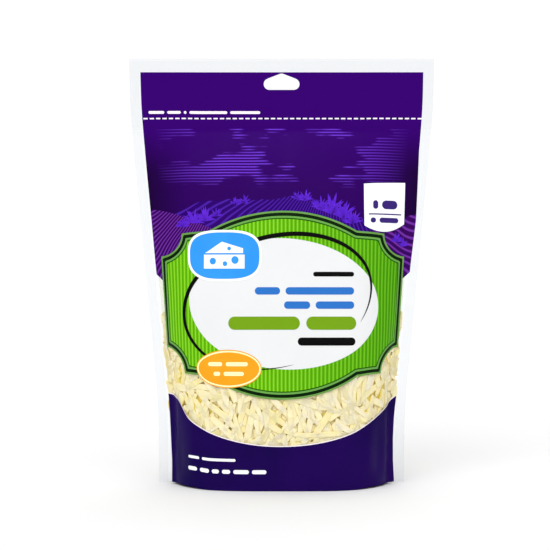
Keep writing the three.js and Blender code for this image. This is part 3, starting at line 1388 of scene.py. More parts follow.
@dataclass
class Plaque:
    """The label plaque: domed above and below, notched at the corners, ringed in greens round stripes."""

    middle: Pair = (0.9, 117.0)
    dome_top: float = 57.8
    dome_bottom: float = -59.3
    top_dome_end: Pair = (49.0, 45.6)
    top_corner: Pair = (68.0, 43.6)
    top_notch_end: Pair = (84.4, 29.6)
    bottom_notch_end: Pair = (86.4, -28.2)
    bottom_corner: Pair = (67.9, -44.4)
    bottom_dome_end: Pair = (49.5, -45.0)
    ring_insets: Floats = (0.0, 1.15, 3.15, 4.35, 5.1)
    step: float = 1.2
    dome_points: int = 42
    notch_points: int = 20
    inner_rings: int = 33
    innermost: float = 0.03
    halvings: int = 26

    def _dome(self, end: Pair, apex: float) -> Array:
        """Half of a circle's arc.

        Args:
            end: the arc's end at the right.
            apex: its height on the middle line.

        Returns:
            Points from the end to the apex.
        """
        half, rise = end[0], apex - end[1]
        radius = (half**2 + rise**2) / (2.0 * abs(rise))
        turn = np.linspace(math.asin(half / radius), 0.0, self.dome_points)
        sign = math.copysign(1.0, rise)
        return np.stack([radius * np.sin(turn), apex - sign * radius * (1.0 - np.cos(turn))], axis=1)

    def _notch(self, corner: Pair, end: Pair) -> Array:
        """A quarter of an ellipse hollowed out of the corner.

        Args:
            corner: where it starts, on the upper or lower edge.
            end: where it ends, on the side.

        Returns:
            Points from the start to the end.
        """
        turn = np.linspace(0.0, math.pi / 2.0, self.notch_points)
        half_u, half_v = end[0] - corner[0], corner[1] - end[1]
        return np.stack([end[0] - half_u * np.cos(turn), corner[1] - half_v * np.sin(turn)], axis=1)

    def _line(self, start: Pair, end: Pair) -> Array:
        """Points along a straight edge, without its ends."""
        share = between(0.0, math.dist(start, end), self.step)[1:-1, None] / math.dist(start, end)
        return np.array(start) * (1.0 - share) + np.array(end) * share

    def outline(self) -> Array:
        """The whole outline: lower dome, edge, notch, side, notch, edge, upper dome, and the same mirrored.

        Returns:
            Points (u, v), counter-clockwise from the middle of the foot.
        """
        right = np.concatenate([
            self._dome(self.bottom_dome_end, self.dome_bottom)[::-1],
            self._line(self.bottom_dome_end, self.bottom_corner),
            self._notch(self.bottom_corner, self.bottom_notch_end),
            self._line(self.bottom_notch_end, self.top_notch_end),
            self._notch(self.top_corner, self.top_notch_end)[::-1],
            self._line(self.top_corner, self.top_dome_end),
            self._dome(self.top_dome_end, self.dome_top),
        ])
        left = right[-2:0:-1] * [-1.0, 1.0]
        return np.concatenate([right, left]) + self.middle

    def inset(self, outline: Array, distance: float) -> Array:
        """The loop that lies a distance inside the outline, found along rays from the middle.

        On each ray the place is halved in, by whether the nearest edge is nearer than the distance.

        Args:
            outline: the outer loop.
            distance: how far inside.

        Returns:
            A loop with as many points.
        """
        if distance == 0.0:
            return outline
        ray = outline - self.middle
        start, edge = outline[None], np.roll(outline, -1, 0)[None] - outline[None]
        low, high = np.zeros(len(ray)), np.ones(len(ray))
        for _ in range(self.halvings):
            half = (low + high) / 2.0
            place = (self.middle + ray * half[:, None])[:, None]
            along = np.sum((place - start) * edge, axis=2) / np.maximum(np.sum(edge**2, axis=2), 1e-12)
            nearest = start + edge * np.clip(along, 0.0, 1.0)[..., None]
            gap = np.linalg.norm(place - nearest, axis=2).min(axis=1)
            low, high = np.where(gap > distance, half, low), np.where(gap > distance, high, half)
        return self.middle + ray * low[:, None]

    def patch(self) -> Patch:
        """Rings of sage, pine, moss and fern, then the striped field to the middle.

        Returns:
            The patch, with a finish number for each of the five.
        """
        outline = self.outline()
        loops = [self.inset(outline, d) for d in self.ring_insets]
        inner = loops[-1]
        shares = np.linspace(1.0, self.innermost, self.inner_rings + 1)[1:]
        loops += [self.middle + (inner - self.middle) * s for s in shares]
        return Patch.rings(loops, [0, 1, 2, 3] + [4] * (self.inner_rings + 1))


@dataclass(frozen=True)
class Ridge:
    """A range of hills' upper edge: a level, waves of (height, length, start), and a bow at the sides."""

    level: float
    waves: tuple[Triple, ...]
    bow: float
    bow_power: int
    span: float = 90.0

    def height(self, u: Array) -> Array:
        """The edge as a sum of sines of u, and a power of u.

        Args:
            u: flat places across.

        Returns:
            The height at each place.
        """
        line = self.level
        for tall, length, start in self.waves:
            line = line + tall * np.sin(u / length + start)
        return line + self.bow * (np.abs(u) / self.span) ** self.bow_power


@dataclass(frozen=True)
class BarRow:
    """A row of rounded bars, as wide as words are."""

    left: float
    low: float
    tall: float
    widths: Floats
    gap: float = 0.0

    def patch(self) -> Patch:
        """The bars from left to right, as one field."""
        starts = self.left + np.cumsum([0.0, *[w + self.gap for w in self.widths[:-1]]])
        return Patch.joined([Patch.pill(start, start + width, self.low, self.low + self.tall)
                             for start, width in zip(starts, self.widths)])


@dataclass
class FrontPrint:
    """The front's print: a ploughed landscape under an engraved sky, the plaque, its badges and bars."""

    layers: PrintLayers
    hole: HangHole
    inks: Inks = Inks()
    plaque: Plaque = field(default_factory=Plaque)
    oval: Ellipse = Ellipse((1.6, 117.2), (63.7, 40.6), -3.4)
    stroke: Ellipse = Ellipse((-3.0, 118.6), (64.0, 40.5), 12.8)
    stroke_start: float = -38.0
    stroke_end: float = 272.5
    stroke_width: float = 2.8
    stroke_points: int = 320
    stroke_lean: float = 0.9
    stroke_fullness: float = 0.7
    badge: Ellipse = Ellipse((-37.9, 147.1), (24.8, 15.9), power=2.9)
    badge_rim: float = 1.5
    seal: Ellipse = Ellipse((-35.1, 76.9), (22.0, 11.9))
    seal_ring: Pair = (0.6, 1.6)
    ring_step: float = 1.6
    far_ridge: Ridge = Ridge(178.5, ((5.0, 27.0, 2.1), (2.2, 11.5, 0.0), (0.5, 3.1, 0.0)), -9.0, 4)
    near_ridge: Ridge = Ridge(164.0, ((8.0, 36.0, 4.4), (1.5, 14.0, 1.0)), 4.0, 2)
    far_hill_foot: float = 135.0
    tuft_seed: int = 40
    tuft_places: tuple[Triple, ...] = (
        (-66.0, 164.5, 8.0), (-58.5, 167.0, 9.5), (-50.5, 168.5, 8.5), (-43.0, 171.5, 6.0),
        (-30.0, 178.5, 5.0), (-24.5, 179.5, 6.0), (10.0, 182.0, 5.0), (15.5, 181.0, 7.0), (26.0, 175.5, 9.0),
        (33.0, 173.0, 12.5), (40.5, 170.0, 12.0), (47.0, 167.0, 9.0), (78.5, 155.5, 6.5), (84.0, 153.0, 5.5),
    )
    blades: int = 17
    blade_fan: float = 1.05
    blade_bend: float = 0.35
    blade_scatter: Pair = (0.07, 0.12)
    blade_lengths: Pair = (0.6, 1.15)
    blade_halves: Pair = (0.055, 0.085)
    wedge_top: tuple[Floats, Floats] = ((-13.5, -1.5, 13.5), (1.0, 8.6, 4.2))
    wedge_foot: float = -8.0
    wedge_cut: Pair = (0.6, 1.6)
    roof_least: float = 1.9
    wedge_holes: tuple[Triple, ...] = (
        (-7.5, -3.4, 2.1), (0.6, -5.0, 1.5), (7.2, -2.7, 2.4), (3.3, 4.4, 1.2),
    )
    tag_sides: Pair = (53.9, 81.6)
    tag_top: float = 192.4
    tag_foot: float = 166.4
    tag_bow: float = 4.6
    tag_slope: float = 0.045
    tag_splay: float = 0.0007
    tag_rule: Floats = (56.9, 79.3, 172.4, 173.2, 0.1)
    tear_height: float = 232.0
    tear_reach: float = 88.0
    tear_period: float = 4.06
    tear_dash: float = 2.7
    tear_width: float = 0.85
    tear_corner: float = 0.15
    tear_bars: BarRow = BarRow(-84.5, 234.9, 1.7, (10.0, 8.6, 1.7, 24.0, 19.0), 1.9)
    seal_bars: tuple[BarRow, ...] = (
        BarRow(-48.6, 78.6, 2.5, (9.5, 14.5), 2.4), BarRow(-45.0, 72.6, 2.5, (4.6, 13.4), 2.2),
    )
    tag_bars: tuple[BarRow, ...] = (
        BarRow(59.9, 176.0, 5.4, (3.4, 10.6), 2.6), BarRow(58.1, 167.4, 3.2, (3.6, 13.2), 2.4),
    )
    small_bars: tuple[BarRow, ...] = (BarRow(20.8, 134.2, 2.9, (27.2,)),)
    blue_bars: tuple[BarRow, ...] = (
        BarRow(-17.6, 123.0, 4.6, (16.6, 45.4), 3.6), BarRow(1.6, 114.2, 4.6, (17.2, 25.6), 3.6),
    )
    green_bars: tuple[BarRow, ...] = (BarRow(-35.0, 101.2, 8.2, (47.0, 33.0), 4.2),)
    black_bars: tuple[BarRow, ...] = (BarRow(10.6, 91.4, 5.0, (38.0,)),)
    band_bars: tuple[BarRow, ...] = (
        BarRow(-64.8, 18.6, 1.7, (8.6, 23.6), 1.9),
        BarRow(-65.2, 10.9, 2.5, (7.4, 6.6, 5.0, 5.6, 10.4, 9.6), 2.1),
    )

    @property
    def ground(self) -> Ground:
        """The fields that both sides share."""
        return Ground(self.layers.form)

    def build(self) -> None:
        """Lays every field, from the ground up."""
        self.lay_ground()
        self.lay_landscape()
        self.lay_header_marks()
        self.lay_plaque()
        self.lay_badge()
        self.lay_seal()
        self.lay_tag()
        self.lay_bars()

    def lay_ground(self) -> None:
        """The upper field, the band and the band's line."""
        ground = self.ground
        self.layers.lay("sky_field", ground.upper(self.hole), 1, self.inks.sky)
        self.layers.lay("foot_band", ground.lower(), 1, self.inks.band)
        self.layers.lay("foot_band_line", ground.line(), 2, self.inks.keyline)

    def lay_landscape(self) -> None:
        """Two ranges of hills, each a strip under its ridge, and tufts of grass on them."""
        ground = self.ground
        u = ground.places()
        low = ground.upper_edge(u)
        far = Patch.strip(u, np.maximum(low, self.far_hill_foot), self.far_ridge.height(u))
        self.layers.lay("far_hills", ground.trimmed(far), 2, self.inks.far_hill)
        near = Patch.strip(u, low, self.near_ridge.height(u))
        self.layers.lay("near_hills", ground.trimmed(near), 3, self.inks.near_hill)
        rng = np.random.default_rng(self.tuft_seed)
        tufts = [blade for place in self.tuft_places for blade in self.tuft(*place, rng)]
        self.layers.lay("grass_tufts", Patch.joined(tufts), 4, self.inks.grass)

    def tuft(self, root_u: float, root_v: float, size: float, rng: np.random.Generator) -> list[Patch]:
        """Blades that fan out from one root, each a leaf shape carried along a parabola.

        Args:
            root_u: the root's place across.
            root_v: the root's place upwards.
            size: the length of an average blade.
            rng: the source of the blades' differences.

        Returns:
            A field for each blade.
        """
        along = np.linspace(0.0, 1.0, 7)[:, None]
        side = np.array([-1.0, 0.0, 1.0])
        leans = np.linspace(-self.blade_fan, self.blade_fan, self.blades)
        leans = leans + rng.normal(0.0, self.blade_scatter[0], self.blades)
        blades = []
        for lean in leans:
            length = size * rng.uniform(*self.blade_lengths) * (1.0 - 0.25 * abs(lean))
            bend = self.blade_bend * lean + rng.normal(0.0, self.blade_scatter[1])
            u = length * (along * math.sin(lean) + bend * along**2 * math.cos(lean))
            v = length * (along * math.cos(lean) - bend * along**2 * math.sin(lean))
            half = size * rng.uniform(*self.blade_halves) * np.sin(math.pi * (0.1 + 0.9 * along)) ** 0.8
            blades.append(Patch.grid(root_u + u + half * side * math.cos(lean),
                                     root_v + v - half * side * math.sin(lean)))
        return blades

    def lay_header_marks(self) -> None:
        """The dashed tear line and the row of small bars above it."""
        half = self.tear_width / 2.0
        low, high = self.tear_height - half, self.tear_height + half
        dashes = [Patch.pill(start, start + self.tear_dash, low, high, self.tear_corner)
                  for start in np.arange(-self.tear_reach, self.tear_reach, self.tear_period)]
        self.layers.lay("tear_line", Patch.joined(dashes), 3, self.inks.keyline)
        self.layers.lay("tear_bars", self.tear_bars.patch(), 3, self.inks.keyline)

    def lay_plaque(self) -> None:
        """The plaque, the white oval on it, and the black swoosh round the oval."""
        inks = self.inks
        greens = (inks.sage, inks.pine, inks.moss, inks.fern, inks.stripes)
        self.layers.lay("plaque", self.plaque.patch(), 6, *greens)
        self.layers.lay("oval", Patch.disc(self.oval.outline(220), self.ring_step), 7, inks.oval_white)
        self.layers.lay("brush_stroke", self.brush_stroke(), 8, inks.black)

    def brush_stroke(self) -> Patch:
        """A stroke round a tilted ellipse: widest at the upper left and tapering to a point at both ends.

        Returns:
            The patch.
        """
        share = np.linspace(0.002, 0.998, self.stroke_points)
        turn = np.radians(self.stroke_start + (self.stroke_end - self.stroke_start) * share)
        width = self.stroke_width * np.sin(math.pi * share**self.stroke_lean) ** self.stroke_fullness
        across = np.linspace(0.5, -0.5, 4)[:, None]
        flat = self.stroke.at(turn, width * across)
        return Patch.grid(flat[..., 0], flat[..., 1])

    def lay_badge(self) -> None:
        """A blue badge with a white rim, and on it a white wedge of cheese with round holes."""
        u, v = self.badge.centre
        rim = Patch.disc(self.badge.outline(160), self.ring_step)
        self.layers.lay("badge_rim", rim, 9, self.inks.white)
        inner = Patch.disc(self.badge.outline(160, -self.badge_rim), self.ring_step)
        self.layers.lay("badge", inner, 10, self.inks.blue)
        side = between(self.wedge_top[0][0], self.wedge_top[0][-1], 1.0)
        top = np.interp(side, *self.wedge_top)
        low, high = (v + level for level in self.wedge_cut)
        wedge = Patch.strip(u + side, np.full_like(side, v + self.wedge_foot), np.full_like(side, low))
        roof = Patch.strip(u + side[1:-1], np.full(len(side) - 2, high),
                           v + np.maximum(top[1:-1], self.roof_least))
        self.layers.lay("badge_wedge", Patch.joined([wedge, roof]), 11, self.inks.white)
        holes = [Patch.disc(Ellipse((u + x, v + y), (r, r)).outline(36), 1.0) for x, y, r in self.wedge_holes]
        self.layers.lay("badge_holes", Patch.joined(holes), 12, self.inks.blue)

    def lay_seal(self) -> None:
        """An orange oval with a cream ring and two rows of cream bars."""
        inks = self.inks
        outer, inner = self.seal_ring
        for name, inset, layer, ink in (
            ("seal_border", 0.0, 9, inks.orange), ("seal_ring", outer, 10, inks.cream),
            ("seal", inner, 11, inks.orange),
        ):
            self.layers.lay(name, Patch.disc(self.seal.outline(140, -inset), self.ring_step), layer, ink)
        rows = Patch.joined([row.patch() for row in self.seal_bars])
        self.layers.lay("seal_bars", rows, 12, self.inks.cream)

    def lay_tag(self) -> None:
        """A white tag with a bowed lower edge, a rule and two bars."""
        u = between(*self.tag_sides, 1.0)
        middle = u.mean()
        bow = self.tag_bow * (1.0 - ((u - middle) / (u[-1] - middle)) ** 2)
        level = self.tag_slope * (u - middle)
        tag = Patch.strip(u, self.tag_foot - bow + level, self.tag_top + level)
        upper, lower = (row.patch() for row in self.tag_bars)
        marks = Patch.joined([upper, Patch.pill(*self.tag_rule), lower])
        for patch in (tag, marks):
            patch.flat[:, 0] *= 1.0 + self.tag_splay * (self.tag_top - patch.flat[:, 1])
        self.layers.lay("tag", tag, 9, self.inks.white)
        self.layers.lay("tag_bars", marks, 10, self.inks.ink_text)

    def lay_bars(self) -> None:
        """Rows of rounded bars on the oval and the band, as long as lines of words are."""
        inks = self.inks
        for name, rows, layer, ink in (
            ("bars_small", self.small_bars, 8, inks.black),
            ("bars_blue", self.blue_bars, 8, inks.deep_blue),
            ("bars_green", self.green_bars, 8, inks.leaf),
            ("bars_black", self.black_bars, 8, inks.black),
            ("band_bars", self.band_bars, 2, inks.white),
        ):
            self.layers.lay(name, Patch.joined([row.patch() for row in rows]), layer, ink)


@dataclass
class BackPrint:
    """The back's print: plain violet and indigo fields, and a pale table of rules and bars between them."""

    layers: PrintLayers
    hole: HangHole
    inks: Inks = Inks()
    border: float = 1.6
    corner: float = 9.0
    table_left: float = -74.0
    table_right: float = 74.0
    table_low: float = 66.0
    table_high: float = 186.0
    head: float = 22.0
    foot: float = 8.0
    heading: Pair = (15.0, 9.0)
    heading_lengths: Pair = (52.0, 38.0)
    rule_ends: Pair = (-66.0, 2.0)
    rule_step: float = 7.4
    rule_thick: float = 1.5
    rule_thin: float = 0.45
    thick_every: int = 5
    entry: Pair = (4.9, 2.7)
    entry_inset: float = 1.0
    entry_lengths: Pair = (14.0, 34.0)
    amount_lengths: Pair = (5.0, 9.0)
    text_left: float = 12.0
    text_step: float = 4.6
    text_tall: float = 1.7
    text_lengths: Pair = (34.0, 54.0)
    rule_corner: float = 0.1
    seed: int = 77

    def build(self) -> None:
        """Lays the fields and the table."""
        ground = Ground(self.layers.form, kink_rise=0.0).from_behind()
        self.layers.lay("violet_field", ground.upper(self.hole), 1, self.inks.header)
        self.layers.lay("foot_band", ground.lower(), 1, self.inks.band)
        self.layers.lay("foot_band_line", ground.line(), 2, self.inks.keyline)
        box = np.array([self.table_left, self.table_right, self.table_low, self.table_high])
        outer = box + self.border * np.array([-1.0, 1.0, -1.0, 1.0])
        self.layers.lay("table_border", Patch.pill(*outer, self.corner + self.border), 3, self.inks.moss)
        self.layers.lay("table", Patch.pill(*box, self.corner), 5, self.inks.white)
        self.lay_rules()

    def lay_rules(self) -> None:
        """Thin rules with a bar at each end on the left, and paragraphs of bars on the right."""
        rng = np.random.default_rng(self.seed)
        left, right = self.rule_ends
        top, bottom = self.table_high - self.head, self.table_low + self.foot
        rows = np.arange(top, bottom, -self.rule_step)
        marks = []
        for k, v in enumerate(rows):
            thick = self.rule_thin if k % self.thick_every else self.rule_thick
            marks.append(Patch.pill(left, right, v, v + thick, self.rule_corner))
        first, last = left + self.entry_inset, right - self.entry_inset
        for v in rows[:-1]:
            low, high = (v - drop for drop in self.entry)
            marks.append(Patch.pill(first, first + rng.uniform(*self.entry_lengths), low, high))
            marks.append(Patch.pill(last - rng.uniform(*self.amount_lengths), last, low, high))
        for v in np.arange(top, bottom, -self.text_step):
            end = self.text_left + rng.uniform(*self.text_lengths)
            marks.append(Patch.pill(self.text_left, end, v, v + self.text_tall))
        low, high = (self.table_high - drop for drop in self.heading)
        for start, length in zip((left, self.text_left), self.heading_lengths):
            marks.append(Patch.pill(start, start + length, low, high))
        self.layers.lay("table_marks", Patch.joined(marks), 7, self.inks.ink_text)


@dataclass
class GussetPrint:
    """The indigo ink under the foot, which follows the gusset from the front edge to the back edge."""

    film: FilmPouch
    ink: GravureInk = Inks().band
    half_span: float = 88.0
    rows: int = 20
    lift: float = 0.06
    floor_gap: float = 0.02

    def build(self) -> None:
        """Lays the ink just below the gusset."""
        form = self.film.form
        u = form.across(-self.half_span, self.half_span)
        front = form.surface(u, np.zeros_like(u), Side.FRONT, self.lift)
        back = form.surface(u, np.zeros_like(u), Side.BACK, self.lift)[::-1]
        share = np.linspace(0.0, 1.0, self.rows)
        places = self.film.gusset(share, front, back, u) - [0.0, 0.0, self.lift]
        places[..., 2] = np.maximum(places[..., 2], self.floor_gap)
        flat = np.stack(np.broadcast_arrays(u[None], share[:, None]), axis=-1).reshape(-1, 2)
        faces = grid_faces(self.rows, len(u))[:, ::-1]
        ink = bpy.data.materials.get(self.ink.name) or self.ink.material()
        piece = write_mesh("foot_gusset_print", places.reshape(-1, 3), [faces], [ink], None, flat)
        settle(piece)


# ---- cheese


@dataclass
class FillTable:
    """How far out each place on one side is filled, as heights above the film at even cells of u and v."""

    form: PouchForm
    half_span: float
    top: float
    deepest: float
    cell: float = 0.8
    far_gap: float = 0.4
    heights: Array = field(init=False)
    floor: Array = field(init=False)

    def __post_init__(self) -> None:
        """Starts empty: as deep as set, or nearly to the far film where the pouch is thin."""
        u, v = np.meshgrid(self.places_u, self.places_v)
        self.floor = -np.minimum(self.deepest, 2.0 * self.form.room(u, v) - self.far_gap)
        self.heights = self.floor.copy()

    @property
    def places_u(self) -> Array:
        """The cells' middles across."""
        return np.arange(-self.half_span, self.half_span, self.cell)

    @property
    def places_v(self) -> Array:
        """The cells' middles upwards."""
        return np.arange(0.0, self.top, self.cell)

    def cells(self, flat: Array) -> tuple[Array, Array]:
        """The cell of each flat place, held inside the table.

        Args:
            flat: flat places, with u and v along the last axis.

        Returns:
            The row and the column of each.
        """
        rows = np.rint(flat[..., 1] / self.cell).astype(int)
        columns = np.rint((flat[..., 0] + self.half_span) / self.cell).astype(int)
        last_row, last_column = self.heights.shape[0] - 1, self.heights.shape[1] - 1
        return np.clip(rows, 0, last_row), np.clip(columns, 0, last_column)

    def highest(self, flat: Array) -> Array:
        """The greatest height under each row of flat places."""
        return self.heights[self.cells(flat)].max(axis=-1)

    def deepest_under(self, flat: Array) -> Array:
        """The lowest that each row of flat places may lie, clear of the far film."""
        return self.floor[self.cells(flat)].max(axis=-1)

    def fill(self, flat: Array, height: Array) -> None:
        """Raises the cells under flat places to a height, where they are lower."""
        np.maximum.at(self.heights, self.cells(flat), height)


@dataclass(frozen=True)
class Handful:
    """Strips dropped one after another.

    How many are tried, how long they are, how near the film they may come, the share of the places under a
    strip that it must clear (at 1 it lies on top of them all, and below that it is tucked in among them),
    and how far from the middle line they are aimed at the least.
    """

    tries: int
    shortest: float
    longest: float
    ceiling: float
    cleared: float = 1.0
    beyond: float = 0.0


@dataclass
class CheeseStrips:
    """The strips that lie against the film, dropped one by one so that each rests on those before it."""

    form: PouchForm
    ground: Ground
    plaque: Plaque
    handfuls: tuple[Handful, ...] = (
        Handful(900, 12.0, 30.0, -2.6),
        Handful(500, 7.0, 15.0, -0.15, beyond=71.0),
        Handful(3200, 22.0, 50.0, -0.15),
        Handful(2500, 16.0, 40.0, -0.8, 0.15),
        Handful(700, 9.0, 20.0, -0.4, 0.3),
        Handful(900, 14.0, 34.0, -0.15, beyond=82.0),
    )
    width: Pair = (3.0, 4.7)
    thickness: Pair = (1.6, 2.4)
    thinnest: float = 0.6
    depth: float = 6.5
    squeeze: float = 1.0
    sag: float = 0.22
    stations: int = 7
    walk: int = 31
    side_level: float = 110.0
    hidden_reach: float = 6.0
    weld_gap: float = 0.1
    margin_start: float = 83.0
    give: float = 0.6
    tone: float = 0.22
    # painted shade on the strips' lower sides, and how much less of it there is near the margins
    underside_shade: float = 0.9
    edge_light: float = 0.75
    film_gap: float = 0.12
    table_span: float = 92.0
    table_margin: float = 6.0
    foot: float = 6.0
    overrun: float = 2.0
    aims: int = 10
    footprint: float = 0.44
    edge_share: float = 0.3
    curl: float = 0.22
    hook: float = 0.5
    tuck: float = 0.5
    end_walk: int = 6
    margin_turn: float = 0.85
    margin_probe: float = 0.4
    margin_thin: float = 0.7
    margin_room: float = 0.9
    margin_narrow: float = 0.8
    margin_short: Pair = (0.25, 0.35)
    section_u: Floats = (1.0, 0.82, -0.82, -1.0, -1.0, -0.82, 0.82, 1.0)
    section_v: Floats = (0.68, 1.0, 1.0, 0.68, -0.68, -1.0, -1.0, -0.68)
    roll: Pair = (0.10, 0.12)
    swell: float = 0.06
    end_size: float = 0.72
    end_slant: float = 0.6
    tip: float = 0.25
    tone_spread: float = 0.11
    light_reach: float = 5.0
    drop_seed: int = 700
    section_seed: int = 900
    finish: FreshCheese = FreshCheese("mozzarella_shredded_moist")

    def shows(self, u: Array, v: Array) -> Array:
        """Whether a place is seen through the film or lies a short way behind the print's edge.

        Args:
            u: flat places across.
            v: flat places upwards.

        Returns:
            True or false for each place.
        """
        centre = np.array(self.plaque.middle)
        edge = self.plaque.outline() - centre
        edge_ray = np.arctan2(edge[:, 1], edge[:, 0])
        order = np.argsort(edge_ray)
        ray = np.arctan2(v - centre[1], u - centre[0])
        edge_reach = np.linalg.norm(edge, axis=1)
        reach = np.interp(ray, edge_ray[order], edge_reach[order], period=2.0 * math.pi)
        outside = np.hypot(u - centre[0], v - centre[1]) > reach - self.hidden_reach
        above_band = v > self.ground.band_edge(u) - self.hidden_reach
        return outside & above_band & (v < self.side_level)

    def drop(self, side: Side) -> tuple[Array, Array]:
        """Drops strips on one side until the film's inside is full.

        Each strip is aimed at the deepest of a few places taken at random. It lands on the highest strips
        under it, sags between them by no more than a set slope, and stays if it then fits under the film.

        Args:
            side: the broad side.

        Returns:
            Centre lines (u, v, height) and each strip's width and thickness.
        """
        rng = np.random.default_rng(side.value + self.drop_seed)
        limit = self.form.weld_start - self.weld_gap
        table = FillTable(self.form, self.table_span, self.side_level + self.table_margin, self.depth)
        aims = np.argwhere(self.shows(*np.meshgrid(table.places_u, table.places_v)))
        share = np.linspace(-0.5, 0.5, self.walk)
        under = np.linspace(-self.footprint, self.footprint, 5)
        pick = np.linspace(0, self.walk - 1, self.stations).astype(int)
        lines, sizes = [], []
        for handful in (h for h in self.handfuls for _ in range(h.tries)):
            far_out = np.abs(table.places_u[aims[:, 1]]) > handful.beyond
            open_aims = aims[far_out] if handful.beyond else aims
            some = open_aims[rng.integers(0, len(open_aims), self.aims)]
            row, column = some[np.argmin(table.heights[some[:, 0], some[:, 1]])]
            long = rng.uniform(handful.shortest, handful.longest)
            wide = rng.uniform(*self.width)
            thick = rng.uniform(*self.thickness)
            heading = rng.uniform(0.0, math.pi)
            aim = np.array([table.places_u[column], table.places_v[row]])
            if abs(aim[0]) > self.margin_start:
                heading = math.pi / 2.0 + rng.normal(0.0, self.margin_turn)
                outer = aim[0] + math.copysign(self.margin_probe * wide, aim[0])
                room = -table.deepest_under(np.array([[outer, aim[1]]]))
                thick = max(min(self.margin_thin * thick, self.margin_room * float(room)), self.thinnest)
                wide = self.margin_narrow * wide
                long = long * (self.margin_short[0] + self.margin_short[1] * math.sin(heading) ** 2)
            turn = heading + rng.normal(0.0, self.curl) * share + rng.normal(0.0, self.hook) * share**2
            along = np.stack([np.cos(turn), np.sin(turn)], axis=1)
            line = np.cumsum(along, axis=0) * long / (self.walk - 1)
            line += aim - line[int(rng.integers(self.end_walk, self.walk - self.end_walk))]
            spread = np.abs(line[:, 0]).max() + self.edge_share * wide
            lowest, highest = line[:, 1].min(), line[:, 1].max()
            if spread > limit or lowest < self.foot or highest > self.side_level + self.overrun:
                continue
            across = np.stack([-along[:, 1], along[:, 0]], axis=1)
            flat = line[:, None] + across[:, None] * (under * wide)[None, :, None]
            below = table.highest(flat)
            if handful.cleared < 1.0:
                rest = np.quantile(below, handful.cleared) + rng.normal(0.0, self.tuck) * share
            else:
                apart = np.abs(share[:, None] - share[None]) * long
                rest = (below[None] - self.sag * apart).max(axis=1)
            over = float((rest + thick).max()) - handful.ceiling
            if over > self.squeeze:
                continue
            rest = rest - max(over, 0.0)
            if (table.deepest_under(flat) - rest).max() > self.give:
                continue
            table.fill(flat, np.broadcast_to((rest + thick)[:, None], flat.shape[:2]))
            lines.append(np.column_stack([line, rest + thick / 2.0])[pick])
            sizes.append((wide, thick))
        LOG.info("%s: %d strips", side.name.lower(), len(lines))
        return np.array(lines), np.array(sizes)

    def strips(self, side: Side) -> tuple[Array, list[Array], Array]:
        """Carries a bevelled oblong section along every centre line at once.

        The section has eight corners at shares of half the width and half the thickness. It rolls a little
        along the strip, swells and thins by a few percent, is pressed flat where it would reach the film, and
        closes to a blunt, slanting end.

        Args:
            side: the broad side.

        Returns:
            Places, face arrays, and the tone of each place, which adds painted shade on the lower side to the
            strip's own tone.
        """
        rng = np.random.default_rng(side.value + self.section_seed)
        lines, sizes = self.drop(side)
        count, stations = lines.shape[:2]
        centre = self.form.surface(lines[..., 0], lines[..., 1], side, lines[..., 2])
        outwards = self.form.surface(lines[..., 0], lines[..., 1], side, lines[..., 2] + 1.0) - centre
        along = np.gradient(centre, axis=1)
        along /= np.linalg.norm(along, axis=2, keepdims=True)
        across = np.cross(outwards, along)
        across /= np.linalg.norm(across, axis=2, keepdims=True)
        outwards = np.cross(along, across)
        corner_u, corner_v = np.array(self.section_u), np.array(self.section_v)
        wander = np.linspace(-1.0, 1.0, stations)
        roll = rng.normal(0.0, self.roll[0], (count, 1)) + rng.normal(0.0, self.roll[1], (count, 1)) * wander
        swell = 1.0 + rng.normal(0.0, self.swell, (count, stations))
        ends = np.ones(stations)
        ends[[0, -1]] = self.end_size
        half_wide = (sizes[:, :1] / 2.0 * swell * ends)[..., None]
        half_thick = (sizes[:, 1:] / 2.0 * (2.0 - swell) * ends)[..., None]
        cos, sin = np.cos(roll)[..., None], np.sin(roll)[..., None]
        sideways = half_wide * corner_u * cos - half_thick * corner_v * sin
        upwards = half_wide * corner_u * sin + half_thick * corner_v * cos
        upwards = np.minimum(upwards, -self.film_gap - lines[..., 2:])
        shift = np.zeros((count, stations, 8))
        shift[:, 0] = rng.normal(0.0, self.end_slant, (count, 1)) * corner_u
        shift[:, -1] = rng.normal(0.0, self.end_slant, (count, 1)) * corner_u
        rings = centre[:, :, None] + across[:, :, None] * sideways[..., None]
        rings = rings + outwards[:, :, None] * upwards[..., None] + along[:, :, None] * shift[..., None]
        first_tip = rings[:, 0].mean(axis=1) - along[:, 0] * self.tip
        last_tip = rings[:, -1].mean(axis=1) + along[:, -1] * self.tip
        each = stations * 8 + 2
        places = np.concatenate([rings.reshape(count, -1, 3), first_tip[:, None], last_tip[:, None]], axis=1)
        starts = (np.arange(count) * each)[:, None, None]
        walls = (grid_faces(stations, 8, closed=True)[None] + starts).reshape(-1, 4)
        i = np.arange(8)
        after = (i + 1) % 8
        last = (stations - 1) * 8
        first_cap = np.stack([after, i, np.full(8, each - 2)], axis=1)
        last_cap = np.stack([i + last, after + last, np.full(8, each - 1)], axis=1)
        caps = (np.concatenate([first_cap, last_cap])[None] + starts).reshape(-1, 3)
        own = np.clip(rng.normal(self.tone, self.tone_spread, (count, 1)), 0.0, 1.0)
        # painted shade: the section's lower corners, turned away from the film, take the warmer cream
        underside_shade_share = np.append(np.tile(self.underside_shade * (1.0 - corner_v) / 2.0, stations), [self.tone] * 2)
        # painted shade is weaker on strips that reach into the margins
        outermost = np.abs(lines[..., 0]).max(axis=1, keepdims=True)
        light_end = self.margin_start + self.light_reach
        shaded = 1.0 - self.edge_light * smoothstep(outermost, self.margin_start, light_end)
        tone = (own + shaded * underside_shade_share).ravel()
        return places.reshape(-1, 3), [walls, caps], tone

